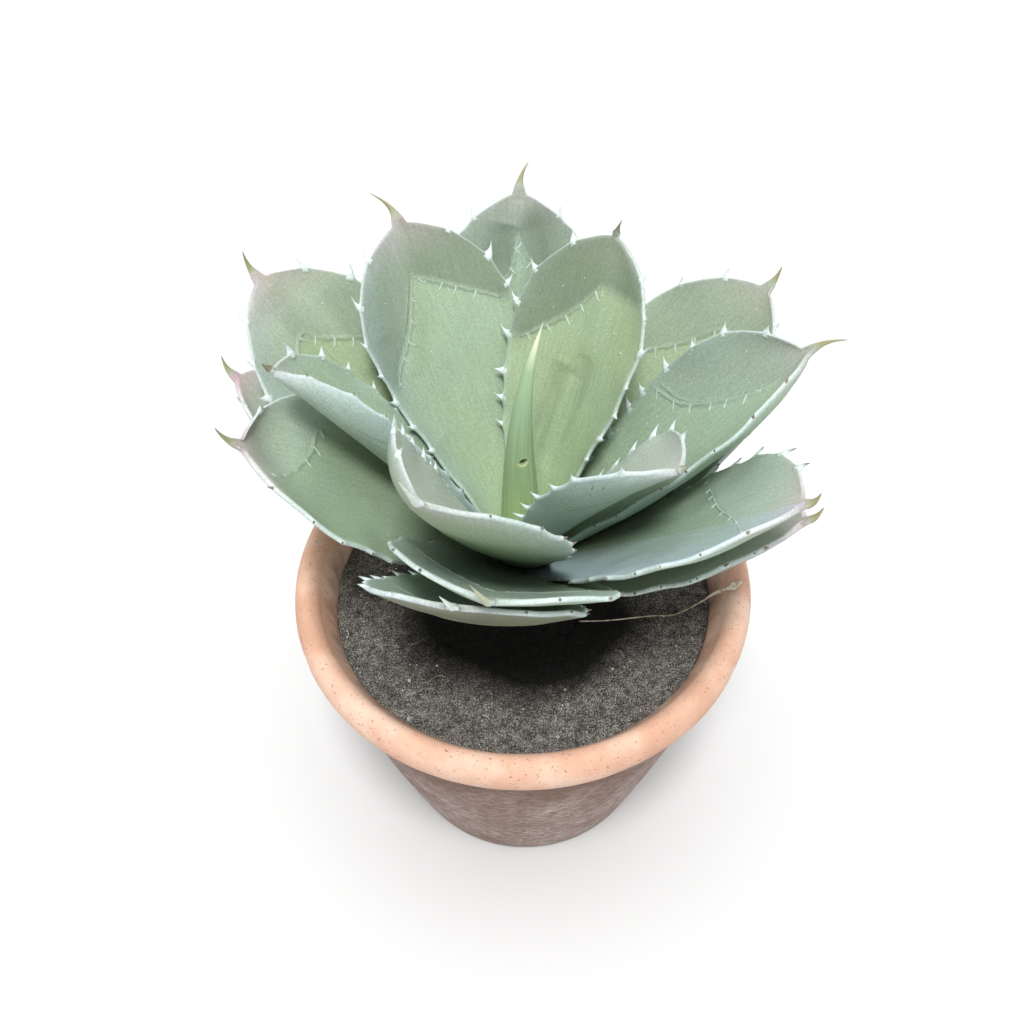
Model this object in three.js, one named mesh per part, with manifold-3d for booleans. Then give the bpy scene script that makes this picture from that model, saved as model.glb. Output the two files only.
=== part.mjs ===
// A potted agave: an open rosette of broad toothed leaves on a short stem, in a round terracotta pot
// filled with dark soil. Millimetres, +Z up. The origin is the middle of the pot's underside, +X is the
// right-hand side and +Y the back.
import * as THREE from 'three';
import { mergeVertices } from 'three/addons/utils/BufferGeometryUtils.js';
import Module from 'manifold-3d';

const wasm = await Module();
wasm.setup();

// Pot: a thrown cone with a round roll for a rim.
const POT_BASE_RADIUS = 66.5;
const POT_NECK_RADIUS = 101;
const POT_BELLY = 2;
const POT_FLOOR = 10;
const RIM_RADIUS = 110;
const RIM_MIDDLE = 153;
const RIM_HALF_WIDTH = 6.6;
const RIM_HALF_HEIGHT = 10.7;
const WALL_AT_FLOOR = 9;
const POT_SIDES = 40;
const DRAIN_HOLES = 3;
const DRAIN_RADIUS = 6.5;
const DRAIN_RING_RADIUS = 30;

// Soil and stem. The soil's surface has long shallow bumps, so high and with these wavelengths.
const SOIL_LEVEL = 144.5;
const SOIL_RADIUS = 91.6;
const SOIL_RISE = 3;
const BUMP_HEIGHT = 0.9;
const BUMP_ACROSS = 82;
const BUMP_DEEP = 107;
const STEM_FOOT = 96;
const STEM_TOP = 186;
const STEM_RADIUS = 15;
const STEM_TOP_RADIUS = 8.5;

// What two pieces that touch keep between them.
const GAP = 0.3;

// Bud: how far its tip leans over and where up its length that starts, and which way the edge of its
// outermost young leaf faces.
const BUD_FOOT = 186.4;
const BUD_LENGTH = 120;
const BUD_RADIUS = 9.2;
const BUD_TAPER = 1.6;
const BUD_RINGS = 12;
const BUD_SIDES = 12;
const BUD_LEAN = { x: 10.5, y: 12.5 };
const BUD_LEAN_FROM = 0.3;
const BUD_LEAN_POWER = 3.2;
const BUD_EDGE_TURN = -0.6;
const BUD_EDGE_STEP = 0.06;

// Dry fibre: where it lies, from the soil to the rim, and how wide it is there.
const FIBRE_ROUTE = [
  [27, -20.2, 146.9], [42, -19.2, 145.9], [61.3, -16.5, 145], [73.5, -15.8, 144.9], [85.4, -14.5, 153],
  [90.5, -13.4, 157.2], [95.5, -13.6, 161.1], [99.3, -13.5, 163.5], [104.2, -11.3, 164.4],
];
const FIBRE_WIDTHS = [1, 1.2, 1.3, 1.4, 1.8, 2, 3, 6, 2];
const FIBRE_THICKNESS = 0.8;

// Leaves: what all of them share. The blade is a broad neck at the root, widest past the middle, with
// blunt shoulders that run into the spine.
const ROOT_RADIUS = 11;
const NECK_SHARE = 0.42;
const NECK_POWER = 1.4;
const WIDEST_AT = 0.64;
const SHOULDER_END = 0.985;
const SHOULDER_POWER = 2.4;
const SHOULDER_ROUND = 0.72;
const BLADE_EDGE = 2.1;
const BLADE_TIP_THICKNESS = 3;
const BLADE_ROOT_THICKNESS = 8;
const SPINE_RADIUS = 1.7;
const TOOTH_ROOT = 4;
const TOOTH_LENGTH = 4;
const TOOTH_LEAN = 0.3;
const FIRST_TOOTH = 11;
const TOOTH_PITCH_AT_TIP = 17;
const TOOTH_PITCH_AT_ROOT = 11;
const TOOTHED_SHARE = 0.74;
const MIDRIB_STEPS = 60;
const ACROSS = [-1, -0.5, 0, 0.5, 1];

// Each leaf, from the heart outwards. turn: the way it points, in degrees round the pot from +X towards
// +Y, and sway how far it swings on from there to its tip. climb: how steeply its midrib rises, at the
// root and at the tip. seat: the height of its root on the stem. cup: how far its halves curl up, at the
// root and at the tip, and fold what the left and the right half add to that. roll: its tilt about the
// midrib, at the root and at the tip. spine: the length of its end spine, and how far that bends up from
// the blade and to the right.
const LEAVES = [
  { turn: 244.6, sway: 12.4, climb: [53, 60], length: 162, width: 92.5, seat: 184.7,
    cup: [51, 61.5], fold: [-24, 18], roll: [2, 15.5], spine: [14, 10, 20] },
  { turn: -42, sway: 2, climb: [60, 49], length: 119, width: 64, seat: 192,
    cup: [40, 45], fold: [3, 18], roll: [13, 8], spine: [4, 0, 0] },
  { turn: 174.7, sway: 22.7, climb: [55.5, 55], length: 152.7, width: 56, seat: 177.3,
    cup: [45, 58], fold: [34.6, -1], roll: [-18, -9], spine: [4, 0, 0] },
  { turn: 61, sway: -7, climb: [53, 66], length: 141, width: 72, seat: 185,
    cup: [62, 18], fold: [0, 10], roll: [5, 5], spine: [6, 0, 10] },
  { turn: 119, sway: 4, climb: [45, 60], length: 150, width: 77, seat: 184,
    cup: [60, 16], fold: [6, 1], roll: [-2, 4], spine: [15, 0, -30] },
  { turn: 1, sway: 3, climb: [42, 52], length: 156, width: 75, seat: 181,
    cup: [39, 50], fold: [8, 16], roll: [5, -4], spine: [14, -21, 16] },
  { turn: 148, sway: 4, climb: [37, 49], length: 166, width: 78, seat: 177,
    cup: [34, 24], fold: [3, -1], roll: [9, 17], spine: [12, 34, 0] },
  { turn: 35, sway: -8, climb: [36, 44], length: 159, width: 78, seat: 174,
    cup: [49, 28], fold: [5, 6], roll: [-5, -7], spine: [10, 20, 0] },
  { turn: 91, sway: -5, climb: [32, 65], length: 167, width: 77, seat: 172,
    cup: [44, 16], fold: [-2, -2], roll: [0, 0], spine: [12, 0, 20] },
  { turn: 184, sway: 19.8, climb: [45, 47.4], length: 150.5, width: 78, seat: 170.4,
    cup: [31.6, 28], fold: [-6, 8.6], roll: [4.6, 11], spine: [14, 16, 0] },
  { turn: -34, sway: 2, climb: [42, 46], length: 159, width: 81, seat: 175,
    cup: [8, 35], fold: [-14, 7], roll: [9, -2], spine: [9, 21, 0] },
  { turn: 261, sway: 4, climb: [47, 49], length: 132, width: 96, seat: 172,
    cup: [33, 26], fold: [-11, 3], roll: [7, 5], spine: [9, 35, 38] },
  { turn: 21, sway: -16, climb: [30, 43], length: 127, width: 53, seat: 169,
    cup: [32, 31], fold: [0, 4], roll: [-13, 6], spine: [8, 10, 0] },
  { turn: 161, sway: 0, climb: [24, 44], length: 151, width: 65, seat: 168,
    cup: [45, 23], fold: [4, 0], roll: [-5, -10], spine: [10, 24, 0] },
  { turn: 253, sway: 4, climb: [31, 64], length: 130, width: 92, seat: 166,
    cup: [38, 18], fold: [-3, -3], roll: [-1, -3], spine: [8, 19, 28] },
  { turn: -23, sway: 2, climb: [25, 51], length: 145, width: 68, seat: 162,
    cup: [39, 28], fold: [0, 4], roll: [4, 11], spine: [10, 15, 0] },
  { turn: 63, sway: 2, climb: [27, 45], length: 128, width: 70, seat: 165,
    cup: [41, 21], fold: [0, 0], roll: [-2, 0], spine: [12, 15, 0] },
  { turn: 123, sway: -2, climb: [22, 43], length: 146, width: 72, seat: 160,
    cup: [35, 24], fold: [0, 0], roll: [-2, 0], spine: [12, 15, 0] },
];

const radians = THREE.MathUtils.degToRad;
const mix = THREE.MathUtils.lerp;

function closedGeometry(points, faces) {
  const geometry = new THREE.BufferGeometry();
  const flat = points.flatMap((point) => point.toArray());
  geometry.setAttribute('position', new THREE.Float32BufferAttribute(flat, 3));
  geometry.setIndex(faces.flat());
  return geometry;
}

function solidOf(geometry) {
  const bare = geometry.clone();
  bare.deleteAttribute('normal');
  bare.deleteAttribute('uv');
  const merged = mergeVertices(bare, 1e-4);
  return new wasm.Manifold(new wasm.Mesh({
    numProp: 3,
    vertProperties: new Float32Array(merged.attributes.position.array),
    triVerts: new Uint32Array(merged.index.array),
  }));
}

function geometryOf(solid) {
  const mesh = solid.getMesh();
  const geometry = new THREE.BufferGeometry();
  geometry.setAttribute('position', new THREE.BufferAttribute(mesh.vertProperties, 3));
  geometry.setIndex(new THREE.BufferAttribute(mesh.triVerts, 1));
  return geometry;
}

// The largest body of a solid that a cut has left in several pieces.
function mainBody(solid) {
  return solid.decompose().reduce((most, body) => (body.volume() > most.volume() ? body : most));
}

// How wide a blade is at a share s of its length, as a share of its full width.
function bladeWidth(s) {
  if (s < WIDEST_AT) {
    return mix(NECK_SHARE, 1, Math.sin((Math.PI / 2) * (s / WIDEST_AT)) ** NECK_POWER);
  }
  const past = Math.min((s - WIDEST_AT) / (SHOULDER_END - WIDEST_AT), 1);
  return (1 - past ** SHOULDER_POWER) ** SHOULDER_ROUND;
}

// The places along one margin where teeth stand. They draw together towards the root.
function toothPlaces(length) {
  const places = [];
  for (let fromTip = FIRST_TOOTH; fromTip < TOOTHED_SHARE * length;) {
    places.push(1 - fromTip / length);
    fromTip += mix(TOOTH_PITCH_AT_TIP, TOOTH_PITCH_AT_ROOT, fromTip / length);
  }
  return places.reverse();
}

// The midrib as a chain of frames: where it is, which way it runs, which way is right and which is up.
function midrib(leaf, stations) {
  const at = (s) => {
    const turn = radians(leaf.turn + leaf.sway * s);
    const climb = radians(mix(...leaf.climb, s));
    const roll = radians(mix(...leaf.roll, s));
    const along = new THREE.Vector3(
      Math.cos(climb) * Math.cos(turn), Math.cos(climb) * Math.sin(turn), Math.sin(climb));
    const up = new THREE.Vector3(
      -Math.sin(climb) * Math.cos(turn), -Math.sin(climb) * Math.sin(turn), Math.cos(climb));
    const right = along.clone().cross(up);
    const tilt = new THREE.Quaternion().setFromAxisAngle(along, -roll);
    return { along, right: right.applyQuaternion(tilt), up: up.applyQuaternion(tilt) };
  };
  const root = new THREE.Vector3(ROOT_RADIUS, 0, leaf.seat);
  const path = [root.applyAxisAngle(new THREE.Vector3(0, 0, 1), radians(leaf.turn))];
  for (let i = 0; i < MIDRIB_STEPS; i += 1) {
    const step = leaf.length / MIDRIB_STEPS;
    path.push(path[i].clone().addScaledVector(at((i + 0.5) / MIDRIB_STEPS).along, step));
  }
  const curve = (s) => {
    const i = THREE.MathUtils.clamp(Math.floor(s * MIDRIB_STEPS), 0, MIDRIB_STEPS - 1);
    return path[i].clone().lerp(path[i + 1], s * MIDRIB_STEPS - i);
  };
  return stations.map((s) => ({ s, place: curve(s), ...at(s) }));
}

// One ring of points round a blade: its upper face from left to right, then its lower face back again.
function ringAround(frame, half, cup, fold, edge, middle) {
  const row = (v, side) => {
    const curl = Math.max(cup + (v < 0 ? fold[0] : fold[1]), 0.01);
    const angle = curl * v;
    const thickness = mix(edge, middle, 1 - v * v) / 2;
    const away = half * Math.sin(angle) / curl - side * thickness * Math.sin(angle);
    const lift = half * (1 - Math.cos(angle)) / curl + side * thickness * Math.cos(angle);
    return frame.place.clone().addScaledVector(frame.right, away).addScaledVector(frame.up, lift);
  };
  return [...ACROSS.map((v) => row(v, 1)), ...ACROSS.toReversed().map((v) => row(v, -1))];
}

// A leaf as one closed body: the cupped blade, its margin teeth and its end spine. swell makes it a
// little larger all round, for cutting its neighbours clear of it.
function leafSolid(leaf, swell = 0) {
  const teeth = toothPlaces(leaf.length);
  const halfRoot = TOOTH_ROOT / 2 / leaf.length;
  const toothed = teeth.flatMap((s) => [s - halfRoot, s + halfRoot]);
  const stations = [-2 * swell / leaf.length, 0.07, 0.16, ...toothed, 0.975, 1];
  const isTooth = (i) => i >= 3 && i % 2 === 1 && i < 3 + toothed.length;
  const frames = midrib(leaf, stations);
  const fold = leaf.fold.map(radians);
  const rings = frames.map((frame) => {
    const s = Math.max(frame.s, 0);
    const half = leaf.width / 2 * bladeWidth(s) + SPINE_RADIUS * s ** 4 + swell;
    const edge = BLADE_EDGE + 2 * swell;
    const middle = mix(BLADE_ROOT_THICKNESS, BLADE_TIP_THICKNESS, s ** 0.6) + 2 * swell;
    return ringAround(frame, half, radians(mix(...leaf.cup, frame.s)), fold, edge, middle);
  });

  // The spine carries on from the midrib and bends away from it.
  const last = frames.at(-1);
  const [reach, lift, lean] = leaf.spine;
  const spineFrame = (share) => {
    const place = last.place.clone().addScaledVector(last.along, (reach + 3 * swell) * share);
    place.addScaledVector(last.up, reach * Math.tan(radians(lift)) * share ** 2);
    place.addScaledVector(last.right, reach * Math.tan(radians(lean)) * share ** 2);
    return { ...last, place };
  };
  for (const share of [0.3, 0.65]) {
    const radius = SPINE_RADIUS * (1 - share) + 0.15 + swell;
    rings.push(ringAround(spineFrame(share), radius, 0, [0, 0], radius * 0.7, 2 * radius));
  }

  const points = rings.flat();
  const size = rings[0].length;
  const faces = [];
  const quad = (a, b, c, d) => faces.push([a, c, b], [a, d, c]);
  for (let i = 0; i + 1 < rings.length; i += 1) {
    for (let j = 0; j < size; j += 1) {
      const [a, b] = [i * size + j, i * size + (j + 1) % size];
      const [c, d] = [b + size, a + size];
      const margin = j === ACROSS.length - 1 || j === size - 1;
      if (margin && isTooth(i)) {
        // A tooth stands on this stretch of the margin and leans towards the tip.
        const side = j === size - 1 ? -1 : 1;
        const curl = radians(mix(...leaf.cup, frames[i].s)) + fold[side < 0 ? 0 : 1];
        const out = frames[i].right.clone().multiplyScalar(side * Math.cos(curl));
        out.addScaledVector(frames[i].up, Math.sin(curl)).addScaledVector(frames[i].along, TOOTH_LEAN);
        const foot = new THREE.Vector3();
        for (const k of [a, b, c, d]) foot.addScaledVector(points[k], 0.25);
        const apex = points.push(foot.addScaledVector(out.normalize(), TOOTH_LENGTH + swell)) - 1;
        faces.push([a, b, apex], [b, c, apex], [c, d, apex], [d, a, apex]);
      } else if (j < ACROSS.length) {
        quad(b, a, d, c);
      } else {
        // The lower face is split along the same diagonals as the upper one.
        faces.push([a, b, c], [a, c, d]);
      }
    }
  }
  for (let j = 0; j + 1 < ACROSS.length; j += 1) {
    quad(j, j + 1, size - 2 - j, size - 1 - j);
  }
  const apex = points.push(spineFrame(1).place) - 1;
  const end = (rings.length - 1) * size;
  for (let j = 0; j < size; j += 1) faces.push([end + j, end + (j + 1) % size, apex]);
  return solidOf(closedGeometry(points, faces));
}

// The furled spear at the heart: round rings up an axis that bends over near its tip, each ring a turn of
// a spiral, so that the edge of the outermost young leaf shows as a step.
function budSolid() {
  const sides = BUD_SIDES;
  const points = [];
  const faces = [];
  for (let i = 0; i < BUD_RINGS; i += 1) {
    const s = i / BUD_RINGS;
    const leaning = (Math.max(s - BUD_LEAN_FROM, 0) / (1 - BUD_LEAN_FROM)) ** BUD_LEAN_POWER;
    const centre = new THREE.Vector2().copy(BUD_LEAN).multiplyScalar(leaning);
    const radius = BUD_RADIUS * (1 - s ** BUD_TAPER);
    for (let k = 0; k < sides; k += 1) {
      const angle = BUD_EDGE_TURN + 2 * Math.PI * k / sides;
      const reach = radius * mix(1 - BUD_EDGE_STEP, 1 + BUD_EDGE_STEP, k / (sides - 1));
      const [x, y] = [centre.x + reach * Math.cos(angle), centre.y + reach * Math.sin(angle)];
      points.push(new THREE.Vector3(x, y, BUD_FOOT + BUD_LENGTH * s));
    }
  }
  for (let i = 0; i + 1 < BUD_RINGS; i += 1) {
    for (let k = 0; k < sides; k += 1) {
      const [a, b] = [i * sides + k, i * sides + (k + 1) % sides];
      faces.push([a, b, b + sides], [a, b + sides, a + sides]);
    }
  }
  const foot = points.push(new THREE.Vector3(0, 0, BUD_FOOT)) - 1;
  const tip = points.push(new THREE.Vector3(BUD_LEAN.x, BUD_LEAN.y, BUD_FOOT + BUD_LENGTH)) - 1;
  const top = (BUD_RINGS - 1) * sides;
  for (let k = 0; k < sides; k += 1) {
    faces.push([(k + 1) % sides, k, foot], [top + k, top + (k + 1) % sides, tip]);
  }
  return solidOf(closedGeometry(points, faces));
}

// A body turned round the pot's axis, from points of radius and height that start and end on the axis.
function turned(profile, sides) {
  const lathe = new THREE.LatheGeometry(profile.map(([r, z]) => new THREE.Vector2(r, z)), sides);
  return lathe.rotateX(Math.PI / 2);
}

// The outside radius of the pot's wall at a height below the rim: a cone with a slight belly.
function wallRadius(z) {
  const share = z / (RIM_MIDDLE - RIM_HALF_HEIGHT);
  return mix(POT_BASE_RADIUS, POT_NECK_RADIUS, share) + POT_BELLY * Math.sin(Math.PI * share);
}

function potSolid() {
  const neck = RIM_MIDDLE - RIM_HALF_HEIGHT;
  const outside = [0.2, 0.4, 0.6, 0.8, 1].map((share) => [wallRadius(share * neck), share * neck]);
  const roll = [-65, -25, 15, 55, 90, 125, 160].map((degrees) => [
    RIM_RADIUS - RIM_HALF_WIDTH + RIM_HALF_WIDTH * Math.cos(radians(degrees)),
    RIM_MIDDLE + RIM_HALF_HEIGHT * Math.sin(radians(degrees)),
  ]);
  const inside = [SOIL_LEVEL + 4, 0.5 * SOIL_LEVEL, POT_FLOOR].map((z) => [wallInside(z), z]);
  const body = solidOf(turned([
    [0, 0], [POT_BASE_RADIUS - 2, 0], [POT_BASE_RADIUS, 2.5],
    ...outside, ...roll, ...inside, [0, POT_FLOOR],
  ], POT_SIDES));
  const drill = new THREE.CylinderGeometry(DRAIN_RADIUS, DRAIN_RADIUS, 4 * POT_FLOOR, 10);
  drill.rotateX(Math.PI / 2).translate(DRAIN_RING_RADIUS, 0, 0).rotateZ(Math.PI / DRAIN_HOLES);
  const holes = Array.from({ length: DRAIN_HOLES }, (_, i) => (
    solidOf(drill.clone().rotateZ(2 * Math.PI * i / DRAIN_HOLES))));
  return holes.reduce((pot, hole) => pot.subtract(hole), body);
}

// The inside radius of the wall, which thins a little towards the soil line.
function wallInside(z) {
  const share = (z - POT_FLOOR) / (SOIL_LEVEL - POT_FLOOR);
  return mix(wallRadius(POT_FLOOR) - WALL_AT_FLOOR, SOIL_RADIUS, share);
}

// Soil fills the pot. Its top rises a little towards the stem and is uneven, and the stem stands in a
// plain hole in it.
function soilSolid() {
  const hole = STEM_RADIUS + GAP;
  const rows = 5;
  const surface = Array.from({ length: rows }, (_, i) => [
    mix(SOIL_RADIUS - GAP, hole, i / (rows - 1)), SOIL_LEVEL + SOIL_RISE * (i / (rows - 1)) ** 2]);
  const geometry = turned([
    [0, POT_FLOOR + GAP], [wallInside(POT_FLOOR) - GAP, POT_FLOOR + GAP],
    [wallInside(0.5 * SOIL_LEVEL) - GAP, 0.5 * SOIL_LEVEL], ...surface,
    [hole, STEM_FOOT - GAP], [0, STEM_FOOT - GAP],
  ], POT_SIDES);
  const at = geometry.attributes.position;
  for (let i = 0; i < at.count; i += 1) {
    const across = Math.sin(2 * Math.PI * at.getX(i) / BUMP_ACROSS);
    const deep = Math.cos(2 * Math.PI * at.getY(i) / BUMP_DEEP);
    if (at.getZ(i) >= SOIL_LEVEL) at.setZ(i, at.getZ(i) + BUMP_HEIGHT * across * deep);
  }
  return solidOf(geometry);
}

// The stem is straight in the soil and tapers above it.
function stemSolid(swell = 0) {
  const [side, top] = [STEM_RADIUS + swell, STEM_TOP_RADIUS + swell];
  return solidOf(turned([
    [0, STEM_FOOT - swell], [side - 3, STEM_FOOT - swell], [side, STEM_FOOT + 8],
    [side, SOIL_LEVEL + 12], [top, STEM_TOP + swell], [0, STEM_TOP + swell],
  ], 20));
}

// A dry fibre lies from the soil up over the rim, and widens into a papery scrap on the rim.
function fibreSolid() {
  const points = [];
  const faces = [];
  FIBRE_ROUTE.forEach(([x, y, z], i) => {
    const half = FIBRE_WIDTHS[i] / 2;
    const next = FIBRE_ROUTE[Math.min(i + 1, FIBRE_ROUTE.length - 1)];
    const before = FIBRE_ROUTE[Math.max(i - 1, 0)];
    const side = new THREE.Vector3(before[1] - next[1], next[0] - before[0], 0).setLength(half);
    const middle = new THREE.Vector3(x, y, z);
    const top = new THREE.Vector3(0, 0, FIBRE_THICKNESS);
    points.push(middle.clone().sub(side), middle.clone().add(side),
      middle.clone().add(side).add(top), middle.clone().sub(side).add(top));
  });
  for (let i = 0; i + 1 < FIBRE_ROUTE.length; i += 1) {
    for (let k = 0; k < 4; k += 1) {
      const [a, b] = [4 * i + k, 4 * i + (k + 1) % 4];
      faces.push([a, b, a + 4], [b, b + 4, a + 4]);
    }
  }
  const end = points.length - 4;
  faces.push([1, 0, 2], [2, 0, 3], [end, end + 1, end + 3], [end + 1, end + 2, end + 3]);
  return solidOf(closedGeometry(points, faces));
}

const TERRACOTTA = { color: '#c98a6c', roughness: 0.85 };
const POTTING_MIX = { color: '#3a3734', roughness: 1 };
const LEAF_SKIN = { color: '#93ab92', roughness: 0.6 };
const YOUNG_LEAF = { color: '#9db476', roughness: 0.55 };
const STEM_FIBRE = { color: '#7d6a4c', roughness: 0.9 };
const DRY_LEAF = { color: '#a8977a', roughness: 0.9 };

const agave = new THREE.Group();

function add(name, solid, finish) {
  const geometry = geometryOf(solid);
  geometry.computeVertexNormals();
  const mesh = new THREE.Mesh(geometry, new THREE.MeshStandardMaterial(finish));
  mesh.name = name;
  agave.add(mesh);
}

add('pot', potSolid(), TERRACOTTA);
add('soil', soilSolid(), POTTING_MIX);
add('stem', stemSolid(), STEM_FIBRE);
add('dry_fibre', fibreSolid(), DRY_LEAF);

const bud = budSolid();
add('bud', bud, YOUNG_LEAF);

// The leaves press on each other where they leave the stem. Each one is cut clear of the stem, of the
// bud and of the leaves inside it, and keeps its own main body.
const inner = [stemSolid(GAP), bud];
LEAVES.forEach((leaf, i) => {
  const whole = leafSolid(leaf);
  const clear = inner.reduce((rest, solid) => rest.subtract(solid), whole);
  add(`leaf_${String(i + 1).padStart(2, '0')}`, mainBody(clear), LEAF_SKIN);
  inner.push(leafSolid(leaf, GAP));
});

export default agave;
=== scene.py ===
import itertools
import math

import bpy
import numpy as np
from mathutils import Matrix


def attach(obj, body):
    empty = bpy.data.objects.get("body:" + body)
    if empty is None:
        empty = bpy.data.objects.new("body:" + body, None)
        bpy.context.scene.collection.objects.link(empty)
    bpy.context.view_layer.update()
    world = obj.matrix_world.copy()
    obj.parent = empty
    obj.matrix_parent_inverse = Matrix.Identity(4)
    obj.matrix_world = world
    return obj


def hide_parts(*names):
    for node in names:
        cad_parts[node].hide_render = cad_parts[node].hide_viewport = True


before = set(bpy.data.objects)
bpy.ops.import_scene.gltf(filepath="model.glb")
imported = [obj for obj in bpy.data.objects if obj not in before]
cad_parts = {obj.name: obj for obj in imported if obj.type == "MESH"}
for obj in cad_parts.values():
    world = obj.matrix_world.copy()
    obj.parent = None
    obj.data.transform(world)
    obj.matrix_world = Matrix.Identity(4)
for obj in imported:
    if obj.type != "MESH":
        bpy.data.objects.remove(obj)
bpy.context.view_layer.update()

# Camera: a short lens in front of the pot, about 300 mm above the leaves, that looks steeply down on them.
# That is the photograph's viewing angle.
MM = 0.001
CAMERA_PLACE = (0, -355.94, 618.71)
CAMERA_TURN = (40.71, 1.06, -0.58)
SENSOR_WIDTH = 36
LENS = 42.19
CLIP_START = 10

camera_data = bpy.data.cameras.new("camera")
camera_data.sensor_width = SENSOR_WIDTH
camera_data.lens = LENS
camera_data.clip_start = CLIP_START * MM
camera = bpy.data.objects.new("camera", camera_data)
camera.location = [MM * value for value in CAMERA_PLACE]
camera.rotation_euler = [math.radians(value) for value in CAMERA_TURN]
bpy.context.scene.collection.objects.link(camera)
bpy.context.scene.camera = camera

# Pot: a cone of earthenware with a slight belly, thrown on a wheel, with a thick round roll for a rim and
# three drain holes cut in its floor. Fired once and left unglazed.
POT_BASE_RADIUS = 66.5
POT_NECK_RADIUS = 101
POT_BELLY = 2
POT_FLOOR = 10
RIM_RADIUS = 110
RIM_MIDDLE = 153
RIM_HALF_WIDTH = 6.6
RIM_HALF_HEIGHT = 10.7
# The roll of the rim turns from under its outer side to under its inner side, level outwards being 0.
ROLL_TURNS = (-78, 158)
ROLL_INSIDE_FROM = 117
WALL_AT_FLOOR = 9
SOIL_LEVEL = 144.5
SOIL_RADIUS = 91.6
FOOT_BEVEL = 2.5
FLOOR_RINGS = (8, 18, 30, 42, 54)
POT_SIDES = 220
THROWING_PITCH = 9.5
THROWING_DEPTH = 0.06
DRAIN_HOLES = 3
DRAIN_RADIUS = 6.5
DRAIN_RING_RADIUS = 30
# The rim's colour begins between the first two heights, and the bloom thickens between the other two.
RIM_CLAY_HEIGHTS = (135, 146)
BLOOM_HEIGHTS = (138, 85)
# Chips on the rim: how far round it, how wide and how deep.
RIM_CHIPS = [(203, 4, 0.7), (248, 3, 0.45), (292, 3.5, 0.4), (331, 3, 0.5), (74, 4, 0.6), (128, 3, 0.5)]
CLAY = "#bb917b"
CLAY_MIDDLE = "#c39c86"
CLAY_PALE = "#ccae9b"
CLAY_DARK = "#84604f"
CLAY_STAIN_AND_SHADE = "#3b302b"
# The next colour is for soil stain and painted shade on the pot.
LIME_BLOOM = "#aea49f"
CLAY_BODY = "#654a3d"


def linear(colour):
    """A colour written as sRGB hex, as linear red, green, blue and alpha."""
    parts = [int(colour[i:i + 2], 16) / 255 for i in (1, 3, 5)]
    return [p / 12.92 if p <= 0.04045 else ((p + 0.055) / 1.055) ** 2.4 for p in parts] + [1]


def noise(places, size, seed=0):
    """Smooth noise from -1 to 1 at rows of x, y, z, with lumps about size across."""
    at = np.asarray(places, float) / size + np.array([13.7, 5.3, 9.1]) * (seed + 1)
    cell = np.floor(at).astype(np.int64)
    share = at - cell
    share = share * share * (3 - 2 * share)
    total = np.zeros(len(at))
    for corner in itertools.product((0, 1), repeat=3):
        x, y, z = (cell + corner).T
        mixed = (x * 73856093) ^ (y * 19349663) ^ (z * 83492791)
        mixed = (mixed ^ (mixed >> 13)) * 1274126177
        value = ((mixed ^ (mixed >> 16)) & 65535) / 32767.5 - 1
        total += value * np.prod(np.where(corner, share, 1 - share), axis=1)
    return total


def add_node(material, kind, inputs=None, ramp=None, **settings):
    """Adds a node. An input is a value, an output, or a node, of which it takes the first output."""
    node = material.node_tree.nodes.new("ShaderNode" + kind)
    for name, value in settings.items():
        setattr(node, name, value)
    for name, value in (inputs or {}).items():
        if isinstance(value, bpy.types.Node):
            value = value.outputs[0]
        if isinstance(value, bpy.types.NodeSocket):
            material.node_tree.links.new(value, node.inputs[name])
        else:
            node.inputs[name].default_value = value
    if ramp:
        for spare in list(node.color_ramp.elements)[1:]:
            node.color_ramp.elements.remove(spare)
        for i, (position, colour) in enumerate(ramp):
            stops = node.color_ramp.elements
            stop = stops[0] if i == 0 else stops.new(position)
            stop.position = position
            stop.color = linear(colour) if isinstance(colour, str) else (colour, colour, colour, 1)
    return node


def new_material(name):
    """A material without any nodes."""
    material = bpy.data.materials.new(name)
    material.use_nodes = True
    material.node_tree.nodes.clear()
    return material


def finish_surface(material, colour, roughness, normal, **constants):
    """Ends a material with one shader. The constants are set on the shader's own sockets."""
    inputs = {"Base Color": colour, "Roughness": roughness, "Normal": normal}
    inputs.update({name.replace("_", " "): value for name, value in constants.items()})
    shader = add_node(material, "BsdfPrincipled", inputs)
    add_node(material, "OutputMaterial", {"Surface": shader})


def make_mesh(name, points, faces, material, marks=None):
    """A smooth object from points in millimetres, faces and marks, which are values kept at its points."""
    mesh = bpy.data.meshes.new(name)
    mesh.from_pydata((np.asarray(points, float) * MM).tolist(), [], [list(face) for face in faces])
    mesh.polygons.foreach_set("use_smooth", [True] * len(mesh.polygons))
    for mark, values in (marks or {}).items():
        layer = mesh.attributes.new(mark, "FLOAT", "POINT")
        layer.data.foreach_set("value", np.asarray(values, np.float32))
    mesh.materials.append(material)
    piece = bpy.data.objects.new(name, mesh)
    bpy.context.scene.collection.objects.link(piece)
    return piece


def grid_faces(rows, columns):
    """The faces between rings of points, one ring to a row."""
    row = np.arange(columns)
    a = (np.arange(rows - 1)[:, None] * columns + row).ravel()
    b = (np.arange(rows - 1)[:, None] * columns + (row + 1) % columns).ravel()
    return np.stack([a, b, b + columns, a + columns], 1)


def fan_faces(ring, middle):
    """Triangles from each side of a ring of points to one point."""
    return np.stack([ring, np.roll(ring, -1), np.full(len(ring), middle)], 1)


def capped(points, columns, first_middle, last_middle):
    """Points and faces of a stack of rings that a fan to a middle point closes at each end."""
    count, ring_at = len(points), np.arange(columns)
    faces = grid_faces(count // columns, columns).tolist()
    faces += fan_faces(ring_at[::-1], count).tolist()
    faces += fan_faces(ring_at + count - columns, count + 1).tolist()
    return np.vstack([points, [first_middle, last_middle]]), faces


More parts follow.
